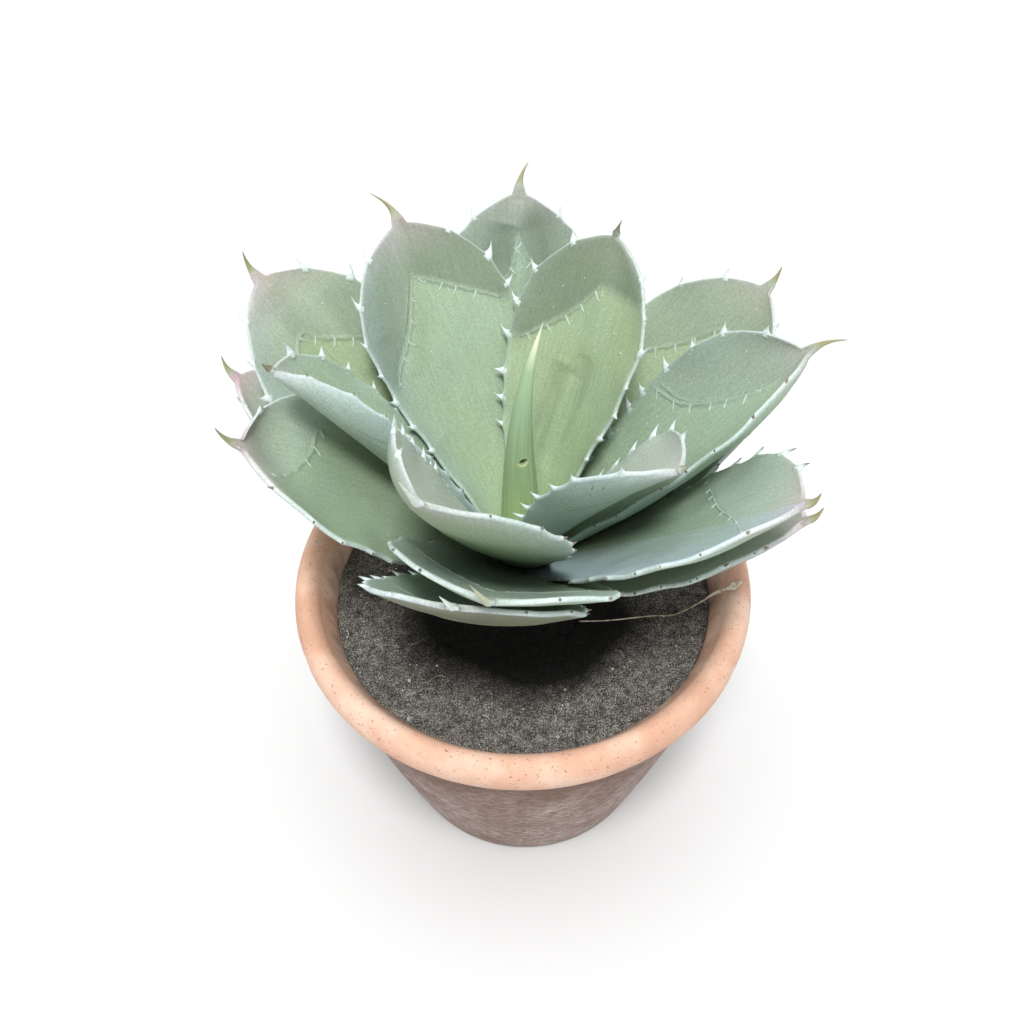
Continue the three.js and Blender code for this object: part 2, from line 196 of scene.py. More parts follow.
def wall_radius(z):
    """The outside radius of the pot's wall at a height below the rim."""
    share = z / (RIM_MIDDLE - RIM_HALF_HEIGHT)
    return POT_BASE_RADIUS + (POT_NECK_RADIUS - POT_BASE_RADIUS) * share + POT_BELLY * np.sin(np.pi * share)


def wall_inside(z):
    """The inside radius of the wall, which thins a little towards the soil line."""
    at_floor = wall_radius(POT_FLOOR) - WALL_AT_FLOOR
    return at_floor + (SOIL_RADIUS - at_floor) * (z - POT_FLOOR) / (SOIL_LEVEL - POT_FLOOR)


neck = RIM_MIDDLE - RIM_HALF_HEIGHT
bevel = np.radians(np.linspace(0, 90, 5))
outside_z = np.linspace(FOOT_BEVEL, neck - 1, 60)
roll_turn = np.radians(np.linspace(*ROLL_TURNS, 44))
inside_z = np.linspace(SOIL_LEVEL + 6, POT_FLOOR + 3, 18)
outside = np.vstack([
    [[r, 0] for r in FLOOR_RINGS],
    np.stack([POT_BASE_RADIUS - 2 + 2 * np.sin(bevel), FOOT_BEVEL * (1 - np.cos(bevel))], 1),
    np.stack([wall_radius(outside_z), outside_z], 1)[1:],
])
pot_profile = np.vstack([
    outside,
    np.stack([RIM_RADIUS - RIM_HALF_WIDTH + RIM_HALF_WIDTH * np.cos(roll_turn),
              RIM_MIDDLE + RIM_HALF_HEIGHT * np.sin(roll_turn)], 1),
    np.stack([wall_inside(inside_z), inside_z], 1),
    [[wall_inside(POT_FLOOR) - 3, POT_FLOOR]],
    [[r, POT_FLOOR] for r in FLOOR_RINGS[::-1]],
])
# The roll's inner side and all that follows it look inwards, so there a swell pushes the other way.
first_inside = len(outside) + np.sum(roll_turn < math.radians(ROLL_INSIDE_FROM))
turn = np.linspace(0, 2 * np.pi, POT_SIDES, endpoint=False)
radius = pot_profile[:, 0][:, None] * np.ones(POT_SIDES)
height = pot_profile[:, 1][:, None] * np.ones(POT_SIDES)
pot_points = np.stack([radius * np.cos(turn), radius * np.sin(turn), height], -1).reshape(-1, 3)
drawn = np.where((pot_points[:, 2] > 1) & (np.hypot(pot_points[:, 0], pot_points[:, 1]) > 60), 1.0, 0.0)
on_wall = np.clip((neck - pot_points[:, 2]) / 6, 0, 1)
rings = np.sin(2 * np.pi * pot_points[:, 2] / THROWING_PITCH + 1.5 * noise(pot_points, 40, 1))
swell = THROWING_DEPTH * rings * on_wall * (0.6 + 0.4 * noise(pot_points, 25, 2))
swell += 0.22 * noise(pot_points, 34, 3) + 0.05 * (1 - 0.7 * on_wall) * noise(pot_points, 8, 4)
for place, across, depth in RIM_CHIPS:
    middle = [(RIM_RADIUS - 2) * math.cos(math.radians(place)),
              (RIM_RADIUS - 2) * math.sin(math.radians(place)), RIM_MIDDLE - 3]
    away = np.linalg.norm(pot_points - middle, axis=1) / across
    swell -= depth * np.exp(-away ** 2) * (1 + 0.5 * noise(pot_points, 1.5, 6))
outward = pot_points * [1, 1, 0]
outward /= np.linalg.norm(outward, axis=1)[:, None]
inner_face = np.repeat(np.arange(len(pot_profile)) >= first_inside, POT_SIDES)
pot_points += outward * (swell * drawn * np.where(inner_face, -1, 1))[:, None]
pot_points, pot_faces = capped(pot_points, POT_SIDES, (0, 0, 0), (0, 0, POT_FLOOR))

# Unglazed terracotta, dry and matt: warm clay with paler rubbed places on the rim, fine dark specks,
# and below the rim a chalky bloom of lime that has come through the wall with the water.
terracotta = new_material("unglazed_terracotta")
body_place = add_node(terracotta, "TexCoord").outputs["Object"]
height_up = add_node(terracotta, "SeparateXYZ", {"Vector": body_place}).outputs["Z"]
flattened = add_node(terracotta, "Mapping", {"Vector": body_place, "Scale": (1, 1, 2.5)})
# Clouds of 30 mm, smears of 5 mm that lie flat round the wall, grit of 1.1 mm and specks of about 0.5 mm.
cloud, smear, grit, speck = (
    add_node(terracotta, "TexNoise", {"Vector": place, "Scale": scale, "Detail": detail, "Roughness": rough})
    for place, scale, detail, rough in ((body_place, 34, 5, 0.5), (flattened, 210, 8, 0.8),
                                        (body_place, 900, 3, 0.5), (body_place, 760, 2, 0.5)))
# 1 on the rim and 0 on the wall, with a soft change just under the roll.
rim_from, rim_to = (MM * level for level in RIM_CLAY_HEIGHTS)
on_rim = add_node(terracotta, "MapRange", {"Value": height_up, "From Min": rim_from, "From Max": rim_to})
rim_colour = add_node(terracotta, "ValToRGB", {"Fac": cloud}, ramp=[
    (0.34, CLAY), (0.48, CLAY_MIDDLE), (0.62, CLAY_PALE)])
# The bloom comes in smears and clouds. It is thickest low on the wall and fades out under the rim.
bloom_share = add_node(terracotta, "ValToRGB", {"Fac": smear}, ramp=[(0.38, 0), (0.62, 1)])
bloom_from, bloom_to = (MM * level for level in BLOOM_HEIGHTS)
for reading, start, end, least in ((cloud, 0.38, 0.62, 0.5), (height_up, bloom_from, bloom_to, 0.15)):
    thickness_there = add_node(terracotta, "MapRange", {
        "Value": reading, "From Min": start, "From Max": end, "To Min": least, "To Max": 1})
    bloom_share = add_node(terracotta, "Math", {0: bloom_share, 1: thickness_there}, operation="MULTIPLY")
speck_share = add_node(terracotta, "ValToRGB", {"Fac": speck}, ramp=[(0.3, 0.8), (0.36, 0)])
# The stain mark mixes in a dark brown: soil stain and painted shade inside the rim, painted shade under the
# roll.
stain_and_shade_share = add_node(terracotta, "Attribute", attribute_name="stain_and_painted_shade").outputs["Fac"]
clay_colour = linear(CLAY_BODY)
for part_share, over in ((bloom_share, linear(LIME_BLOOM)), (on_rim, rim_colour),
                         (speck_share, linear(CLAY_DARK)), (stain_and_shade_share, linear(CLAY_STAIN_AND_SHADE))):
    clay_colour = add_node(terracotta, "MixRGB", {"Fac": part_share, "Color1": clay_colour, "Color2": over})
grit_bump = add_node(terracotta, "Bump", {"Height": grit, "Distance": 0.15 * MM, "Strength": 0.8})
clay_bump = add_node(terracotta, "Bump", {
    "Height": smear, "Distance": 0.3 * MM, "Strength": 0.4, "Normal": grit_bump})
finish_surface(terracotta, clay_colour, 0.88, clay_bump, IOR=1.5, Specular_IOR_Level=0.3)

# The inside of the rim darkens in patches towards the soil, partly soil stain and partly painted shade in
# that hollow, and the wall just under the roll has patches of painted shade.
inside_low = np.clip((RIM_MIDDLE + 4 - pot_points[:, 2]) / 8, 0, 1) * np.append(inner_face, [False, False])
stain_and_painted_shade = inside_low * np.clip(0.45 + 0.5 * noise(pot_points, 13, 8) + 0.35 * noise(pot_points, 3.5, 9), 0, 1)
under_rim = np.clip(1 - np.abs(pot_points[:, 2] - neck + 3) / 6, 0, 1)
stain_and_painted_shade = np.clip(stain_and_painted_shade + 0.25 * under_rim * np.clip(noise(pot_points, 12, 7), 0, 1), 0, 0.85)
pot = make_mesh("pot_terracotta", pot_points, pot_faces, terracotta, {"stain_and_painted_shade": stain_and_painted_shade})
for k in range(DRAIN_HOLES):
    bpy.ops.mesh.primitive_cylinder_add(vertices=40, radius=DRAIN_RADIUS * MM, depth=4 * POT_FLOOR * MM)
    drill = bpy.context.object
    around = math.radians(60 + 360 * k / DRAIN_HOLES)
    drill.location = (DRAIN_RING_RADIUS * MM * math.cos(around), DRAIN_RING_RADIUS * MM * math.sin(around), 0)
    cut = pot.modifiers.new("drain_hole", "BOOLEAN")
    cut.operation = "DIFFERENCE"
    cut.object = drill
    bpy.context.view_layer.update()
    drilled = bpy.data.meshes.new_from_object(pot.evaluated_get(bpy.context.evaluated_depsgraph_get()))
    pot.modifiers.clear()
    pot.data = drilled
    bpy.data.objects.remove(drill)
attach(pot, "root")
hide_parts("pot")

# Soil: fine dark potting mix of peat and bark, watered and dried until it has settled and shrunk a little
# from the wall. It is one body with a hole for the stem.
GAP = 0.3
SOIL_RISE = 3
BUMP_HEIGHT = 0.9
BUMP_ACROSS = 82
BUMP_DEEP = 107
STEM_RADIUS = 15
STEM_FOOT = 96
SOIL_SIDES = 420
SOIL_ROWS = 120
SOIL_DARK = "#191817"
SOIL_MIDDLE = "#4f4c48"
SOIL_PALE = "#a6a29b"
# The next colour and reach are for painted shade on the soil round the stem.
SOIL_PAINTED_SHADE = "#070706"
PAINTED_SHADE_REACH = 70


def soil_height(x, y):
    """The height of the soil's surface, before its crumbs."""
    out = np.hypot(x, y)
    inwards = np.clip((SOIL_RADIUS - GAP - out) / (SOIL_RADIUS - 2 * GAP - STEM_RADIUS), 0, 1)
    waves = np.sin(2 * np.pi * x / BUMP_ACROSS) * np.cos(2 * np.pi * y / BUMP_DEEP)
    return SOIL_LEVEL + SOIL_RISE * inwards ** 2 + BUMP_HEIGHT * waves


hole = STEM_RADIUS + GAP
share = np.linspace(0, 1, SOIL_ROWS) ** 1.15
soil_turn = np.linspace(0, 2 * np.pi, SOIL_SIDES, endpoint=False)
soil_out = (SOIL_RADIUS - GAP - 0.2) * (1 - share) + hole * share
top = np.stack([np.outer(soil_out, np.cos(soil_turn)).ravel(), np.outer(soil_out, np.sin(soil_turn)).ravel(),
                np.zeros(SOIL_ROWS * SOIL_SIDES)], 1)
crumbs = 0.5 * noise(top, 9, 11) + 0.55 * noise(top, 3.4, 12) + 0.5 * noise(top, 1.5, 13)
crack = np.clip(noise(top, 21, 14) + 0.25 * noise(top, 5, 15), 0, 1)
from_wall = SOIL_RADIUS - np.hypot(top[:, 0], top[:, 1])
shrunk = np.exp(-(from_wall / 1.6) ** 2) * (0.6 + 3.2 * crack)
split = np.abs(noise(top, 17, 16) + 0.3 * noise(top, 4, 17))
splits = 1.1 * np.exp(-(split / 0.05) ** 2) * np.clip(noise(top, 30, 18) * 3 - 1.2, 0, 1)
edge_calm = np.clip(from_wall / 1.5, 0, 1) * np.clip((np.hypot(top[:, 0], top[:, 1]) - hole) / 2, 0, 1)
top[:, 2] = soil_height(top[:, 0], top[:, 1]) + (crumbs - splits) * (0.15 + 0.85 * edge_calm) - shrunk
# The soil's side, from its edge down to the floor of the pot, and then the wall of the stem's hole.
lower = [(SOIL_RADIUS - GAP - 0.3, 139), (wall_inside(72) - GAP - 0.2, 72),
         (wall_inside(POT_FLOOR) - 1, POT_FLOOR + GAP)]
hole_wall = [(hole, 132), (hole, STEM_FOOT - GAP)]


def ring(out, z, turns):
    """A level ring of points round the pot's axis."""
    return np.stack([out * np.cos(turns), out * np.sin(turns), np.full(len(turns), float(z))], 1)


soil_points = np.vstack([ring(*step, soil_turn) for step in lower[::-1]] + [top]
                        + [ring(*step, soil_turn) for step in hole_wall])
soil_points, soil_faces = capped(soil_points, SOIL_SIDES, (0, 0, POT_FLOOR + GAP), (0, 0, STEM_FOOT - GAP))

# Peat-based potting mix, nearly dry: dull, dark and grey-brown, with paler dust on its high places.
potting_mix = new_material("dry_potting_mix")
soil_place = add_node(potting_mix, "TexCoord").outputs["Object"]
# Peat crumbs are 0.3 to 1 mm across, so the finest pattern is 0.7 mm. Grains are 1.6 mm and clods 4 mm.
crumb = add_node(potting_mix, "TexNoise", {
    "Vector": soil_place, "Scale": 1500, "Detail": 3, "Roughness": 0.7})
clods = add_node(potting_mix, "TexNoise", {"Vector": soil_place, "Scale": 240, "Detail": 4})
grains = add_node(potting_mix, "TexVoronoi", {"Vector": soil_place, "Scale": 620, "Randomness": 1})
soil_tone = add_node(potting_mix, "MixRGB", {"Fac": 0.2, "Color1": crumb, "Color2": clods})
soil_colour = add_node(potting_mix, "ValToRGB", {"Fac": soil_tone}, ramp=[
    (0.36, SOIL_DARK), (0.49, SOIL_MIDDLE), (0.64, SOIL_PALE)])
# Painted shade: round the stem, where the leaves overhang, the soil's colour is mixed towards near black.
painted_shade_share = add_node(potting_mix, "Attribute", attribute_name="painted_shade").outputs["Fac"]
soil_colour = add_node(potting_mix, "MixRGB", {
    "Fac": painted_shade_share, "Color1": soil_colour, "Color2": linear(SOIL_PAINTED_SHADE)})
soil_bump = add_node(potting_mix, "Bump", {"Height": crumb, "Distance": 0.7 * MM, "Strength": 1})
soil_bump = add_node(potting_mix, "Bump", {
    "Height": grains, "Distance": 0.5 * MM, "Strength": 0.6, "Normal": soil_bump})
finish_surface(potting_mix, soil_colour, 0.96, soil_bump, IOR=1.4, Specular_IOR_Level=0.2)


def painted_shade_under_leaves(places):
    """Painted shade on the soil round the stem, under the overhanging leaves: full near the stem, gone about
    70 mm out.
    """
    from_stem = np.hypot(places[:, 0], places[:, 1])
    return np.clip((PAINTED_SHADE_REACH - from_stem + 6 * noise(places, 24, 19)) / 22, 0, 0.96)


soil = make_mesh("soil_fill", soil_points, soil_faces, potting_mix, {"painted_shade": painted_shade_under_leaves(soil_points)})
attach(soil, "root")
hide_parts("soil")

# Loose bits on the soil: dark crumbs, white perlite, which is puffed volcanic glass, and short fibres of
# peat and straw. They lie half sunk in the surface.
CRUMB_COUNT = 2600
PERLITE_COUNT = 190
BARK_COUNT = 80
FIBRE_COUNT = 80
STRAND_STEPS = 6
BITS_IN = 58
BITS_OUT = 88.5
golden = (1 + 5 ** 0.5) / 2
LUMP = np.array([(-1, golden, 0), (1, golden, 0), (-1, -golden, 0), (1, -golden, 0),
                 (0, -1, golden), (0, 1, golden), (0, -1, -golden), (0, 1, -golden),
                 (golden, 0, -1), (golden, 0, 1), (-golden, 0, -1), (-golden, 0, 1)]) / math.hypot(1, golden)
LUMP_FACES = np.array([(0, 11, 5), (0, 5, 1), (0, 1, 7), (0, 7, 10), (0, 10, 11), (1, 5, 9), (5, 11, 4),
                       (11, 10, 2), (10, 7, 6), (7, 1, 8), (3, 9, 4), (3, 4, 2), (3, 2, 6), (3, 6, 8),
                       (3, 8, 9), (4, 9, 5), (2, 4, 11), (6, 2, 10), (8, 6, 7), (9, 8, 1)])
chance = np.random.default_rng(5)


def scatter(count, smallest, largest):
    """Random places on the open soil, each with a size. Small sizes come more often than large ones."""
    spread = chance.random((count, 3))
    out = np.sqrt(spread[:, 0] * (BITS_OUT ** 2 - BITS_IN ** 2) + BITS_IN ** 2)
    around = 2 * np.pi * spread[:, 1]
    x, y = out * np.cos(around), out * np.sin(around)
    size = smallest + (largest - smallest) * spread[:, 2] ** 3
    return np.stack([x, y, soil_height(x, y)], 1), size


def lumps(count, smallest, largest, flatness):
    """Points and faces of many small uneven lumps on the soil."""
    places, sizes = scatter(count, smallest, largest)
    shape = LUMP * (1 + 0.35 * (chance.random((count, 12, 1)) - 0.5))
    shape = shape * (0.7 + 0.6 * chance.random((count, 1, 3))) * [1, 1, flatness]
    points = (places[:, None] + shape * sizes[:, None, None] / 2).reshape(-1, 3)
    faces = (np.arange(count)[:, None, None] * 12 + LUMP_FACES).reshape(-1, 3)
    return points, faces


def soil_bits(name, material, points, faces):
    """Loose bits that lie on the soil, sharp-edged and marked with the soil's painted shade there."""
    bits = make_mesh(name, points, faces, material, {"painted_shade": painted_shade_under_leaves(points)})
    bits.data.polygons.foreach_set("use_smooth", [False] * len(bits.data.polygons))
    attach(bits, "root")


soil_bits("soil_crumbs", potting_mix, *lumps(CRUMB_COUNT, 0.6, 2.6, 0.7))


def one_grain_finish(name, scale, detail, colours, bump, roughness, stretch=None, **constants):
    """A material with one grain in its colour and its bump, which is given by its depth and strength."""
    material = new_material(name)
    place = add_node(material, "TexCoord").outputs["Object"]
    if stretch:
        place = add_node(material, "Mapping", {"Vector": place, "Scale": stretch})
    grain = add_node(material, "TexNoise", {"Vector": place, "Scale": scale, "Detail": detail})
    colour = add_node(material, "ValToRGB", {"Fac": grain}, ramp=colours)
    relief = add_node(material, "Bump", {"Height": grain, "Distance": bump[0] * MM, "Strength": bump[1]})
    finish_surface(material, colour, roughness, relief, **constants)
    return material


# Expanded perlite and grains of sand: chalk white and rough, with pits of about 0.5 mm.
perlite = one_grain_finish("expanded_perlite", 1800, 2, [(0.35, "#a39c90"), (0.6, "#e4e0d8")],
                           (0.2, 0.7), 0.9, IOR=1.5, Specular_IOR_Level=0.3)
soil_bits("soil_perlite", perlite, *lumps(PERLITE_COUNT, 0.35, 1.1, 0.8))

# Bark and straw fines: tan and brown, fibrous and matt, with a tone that changes every 6 mm.
straw = one_grain_finish("bark_and_straw_fines", 160, 2, [
    (0.3, "#5f5546"), (0.5, "#9c9280"), (0.68, "#cfc6b2")], (0.1, 0.5), 0.85,
    IOR=1.45, Specular_IOR_Level=0.3)
soil_bits("soil_bark", straw, *lumps(BARK_COUNT, 0.7, 2.2, 0.4))


def strands(starts, turns, lengths, widths, bends):
    """Points and faces of thin bent strands of three sides that lie on the soil."""
    steps = np.linspace(-0.5, 0.5, STRAND_STEPS)
    level, points, faces = np.zeros(STRAND_STEPS), [], []
    for start, heading, length, width, bend in zip(starts, turns, lengths, widths, bends):
        angle = heading + bend * steps
        line = start + np.stack([np.cos(angle), np.sin(angle), level], 1) * (length * steps)[:, None]
        line[:, 2] = soil_height(line[:, 0], line[:, 1]) + 0.45 + 0.3 * np.cos(np.pi * steps)
        side = np.stack([-np.sin(angle), np.cos(angle), level], 1) * width / 2
        base = 3 * STRAND_STEPS * len(points)
        last = base + 3 * STRAND_STEPS - 1
        points.append(np.stack([line - side, line + side, line + [0, 0, 0.8 * width]], 1).reshape(-1, 3))
        faces += (grid_faces(STRAND_STEPS, 3) + base)[:, ::-1].tolist()
        faces += [[base, base + 1, base + 2], [last, last - 1, last - 2]]
    return np.vstack(points), faces


starts, _ = scatter(FIBRE_COUNT, 1, 2)
soil_bits("soil_fibres", straw, *strands(
    starts, chance.random(FIBRE_COUNT) * 2 * np.pi, 2.5 + 7 * chance.random(FIBRE_COUNT) ** 2,
    0.16 + 0.2 * chance.random(FIBRE_COUNT), chance.normal(0, 0.8, FIBRE_COUNT)))

# Stem: the short fibrous trunk of the rosette, rooted in the soil. It is ringed where old leaves were
# pulled off, and their dry brown bases still wrap it.
STEM_TOP = 186
STEM_TOP_RADIUS = 8.5
STEM_NARROWS_AT = SOIL_LEVEL + 12
STEM_SIDES = 72
SCAR_PITCH = 6.5
stem_z = np.concatenate([[STEM_FOOT, STEM_FOOT], np.linspace(STEM_FOOT + 8, STEM_TOP, 74)])
stem_out = np.concatenate([[2, STEM_RADIUS - 3], np.interp(
    stem_z[2:], (STEM_NARROWS_AT, STEM_TOP), (STEM_RADIUS, STEM_TOP_RADIUS))])
stem_turn = np.linspace(0, 2 * np.pi, STEM_SIDES, endpoint=False)
stem_points = np.vstack([ring(out, z, stem_turn) for out, z in zip(stem_out, stem_z)])
lean = stem_points[:, 2] + 2.2 * np.sin(3 * np.arctan2(stem_points[:, 1], stem_points[:, 0]))
scars = (lean / SCAR_PITCH) % 1
frayed = 0.9 * scars ** 2 + 0.3 * noise(stem_points * [1, 1, 0.25], 1.8, 21)
bare = np.clip((stem_points[:, 2] - SOIL_LEVEL + 4) / 6, 0, 1)
stem_points *= 1 + ((frayed - 0.95) * bare / STEM_RADIUS)[:, None] * [1, 1, 0]
stem_points, stem_faces = capped(stem_points, STEM_SIDES, (0, 0, STEM_FOOT), (0, 0, STEM_TOP))

# Dry leaf-base fibre, like coarse sacking: tan and brown streaks 1.4 mm wide that run up the trunk.
trunk_fibre = one_grain_finish("dry_leaf_base_fibre", 700, 3, [
    (0.3, "#3b2f22"), (0.5, "#7d6a4c"), (0.7, "#a8966f")], (0.5, 0.8), 0.9, stretch=(1, 1, 0.12),
    IOR=1.45, Specular_IOR_Level=0.25)
stem = make_mesh("stem_trunk", stem_points, stem_faces, trunk_fibre)
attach(stem, "root")
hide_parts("stem")

# Leaves: thick fleshy blades, cupped like a scoop, narrow where they clasp the stem and broad past the
# middle, with a horny margin, hooked teeth and one stout spine at the tip. Each grew in one piece, and
# they come here from the heart outwards.
#
# turn: the way a leaf points, round the pot from +X towards +Y, and sway how far it swings on from there
# to its tip. climb: how steeply its midrib rises, at the root and at the tip. seat: the height of its
# root. cup: how far its halves curl up, and fold what the left and the right half add to that. roll: its
# tilt about the midrib. spine: its spine's length, and how far that bends up and to the right.
ROOT_RADIUS = 11
NECK_SHARE = 0.42
NECK_POWER = 1.4
WIDEST_AT = 0.64
SHOULDER_END = 0.985
SHOULDER_POWER = 2.4
SHOULDER_ROUND = 0.72
BLADE_EDGE = 2.1
BLADE_TIP_THICKNESS = 3
BLADE_ROOT_THICKNESS = 8
SPINE_RADIUS = 1.7
FLARE_REACH = 4
TOOTH_ROOT = 4
TOOTH_LENGTH = 4
FIRST_TOOTH = 11
TOOTH_PITCH_AT_TIP = 17
TOOTH_PITCH_AT_ROOT = 11
TOOTHED_SHARE = 0.74
MIDRIB_STEPS = 60
TOOTH_SIDES = 10
LINE_STEPS = 70
CRACK_STEPS = 30
STROKE_PITCH = 9.5
SCALLOP_REACH = 2.6
MARGIN_WAVE = 5.3
PRESS_EDGE = 6
LAST_TOOTH = 9.5
KNOB_BELOW = 8
YOUNG_TO = 0.4
BLUSH_FROM = 0.84
RIM_ENDS_AT = 0.985
BACK_WAX_REACH = 6.5
ACROSS_TOP = 65
ACROSS_BACK = 25
STATIONS = 150
SPINE_STATIONS = 16
LEAF_SIZES = ("turn", "sway", "climb", "length", "width", "seat", "cup", "fold", "roll", "spine")
LEAVES = [dict(zip(LEAF_SIZES, sizes)) for sizes in (
    (244.6, 12.4, (53, 60), 162, 92.5, 184.7, (51, 61.5), (-24, 18), (2, 15.5), (14, 10, 20)),
    (-42, 2, (60, 49), 119, 64, 192, (40, 45), (3, 18), (13, 8), (4, 0, 0)),
    (174.7, 22.7, (55.5, 55), 152.7, 56, 177.3, (45, 58), (34.6, -1), (-18, -9), (4, 0, 0)),
    (61, -7, (53, 66), 141, 72, 185, (62, 18), (0, 10), (5, 5), (6, 0, 10)),
    (119, 4, (45, 60), 150, 77, 184, (60, 16), (6, 1), (-2, 4), (15, 0, -30)),
    (1, 3, (42, 52), 156, 75, 181, (39, 50), (8, 16), (5, -4), (14, -21, 16)),
    (148, 4, (37, 49), 166, 78, 177, (34, 24), (3, -1), (9, 17), (12, 34, 0)),
    (35, -8, (36, 44), 159, 78, 174, (49, 28), (5, 6), (-5, -7), (10, 20, 0)),
    (91, -5, (32, 65), 167, 77, 172, (44, 16), (-2, -2), (0, 0), (12, 0, 20)),
    (184, 19.8, (45, 47.4), 150.5, 78, 170.4, (31.6, 28), (-6, 8.6), (4.6, 11), (14, 16, 0)),
    (-34, 2, (42, 46), 159, 81, 175, (8, 35), (-14, 7), (9, -2), (9, 21, 0)),
    (261, 4, (47, 49), 132, 96, 172, (33, 26), (-11, 3), (7, 5), (9, 35, 38)),
    (21, -16, (30, 43), 127, 53, 169, (32, 31), (0, 4), (-13, 6), (8, 10, 0)),
    (161, 0, (24, 44), 151, 65, 168, (45, 23), (4, 0), (-5, -10), (10, 24, 0)),
    (253, 4, (31, 64), 130, 92, 166, (38, 18), (-3, -3), (-1, -3), (8, 19, 28)),
    (-23, 2, (25, 51), 145, 68, 162, (39, 28), (0, 4), (4, 11), (10, 15, 0)),
    (63, 2, (27, 45), 128, 70, 165, (41, 21), (0, 0), (-2, 0), (12, 15, 0)),
    (123, -2, (22, 43), 146, 72, 160, (35, 24), (0, 0), (-2, 0), (12, 15, 0)),
)]

# What marks each leaf, by its number. A place on a blade is (v, s): v across it from -1 at its left
# margin to 1 at its right, and s along it from root to tip. press: lines where another leaf lay on the
# upper face while both were in the bud, and echo: fainter ones beside them. forms: swells and dents
# between two places, so wide and so high. cracks: dry wrinkles on the lower face. hue: from 0, blue-grey,
# to 1, yellow-green. lilac: how grey-lilac its face is. blush: the pink at its tip. horn: how brown its
# teeth are, and spine_pale how pale its end spine. stubs: the margins, -1 left and 1 right, whose teeth are
# worn to dark stubs. ragged: the margins with small teeth between the large ones. scallop: how far the
# margin sinks between its teeth. dots: lines of short strokes alone. fine: its pressed lines are thin and
# pale. pale_edge: how wide the horny line on its margin is, in millimetres. deep: how much painted shade,
# in a dark green, falls on its pressed tip and its lower face. wax: a margin, 0 for both, how far the pale
# wax reaches in from it, and how thick it is. painted_light_back: how much painted light pales the whole
# lower face towards the wax colour, and brown_back how brown that face is.
# thin: the radius of its end spine, and flare how much wider that starts.
USUAL_MARKS = dict(press=[[(-0.85, 0.56), (-0.4, 0.67), (0, 0.8)], [(0, 0.8), (0.4, 0.67), (0.85, 0.56)]],
                   echo=[], forms=[], cracks=[], hue=0.45, lilac=0.0, blush=0.25, horn=0.5, spine_pale=0.0,
                   stubs=(), ragged=(), dots=[], fine=False, pale_edge=0.65, deep=(0.0, 0.0),
                   wax=(0, 3.5, 0.1), painted_light_back=0.0, brown_back=0.0, scallop=0.9, thin=1.15, flare=3.2)
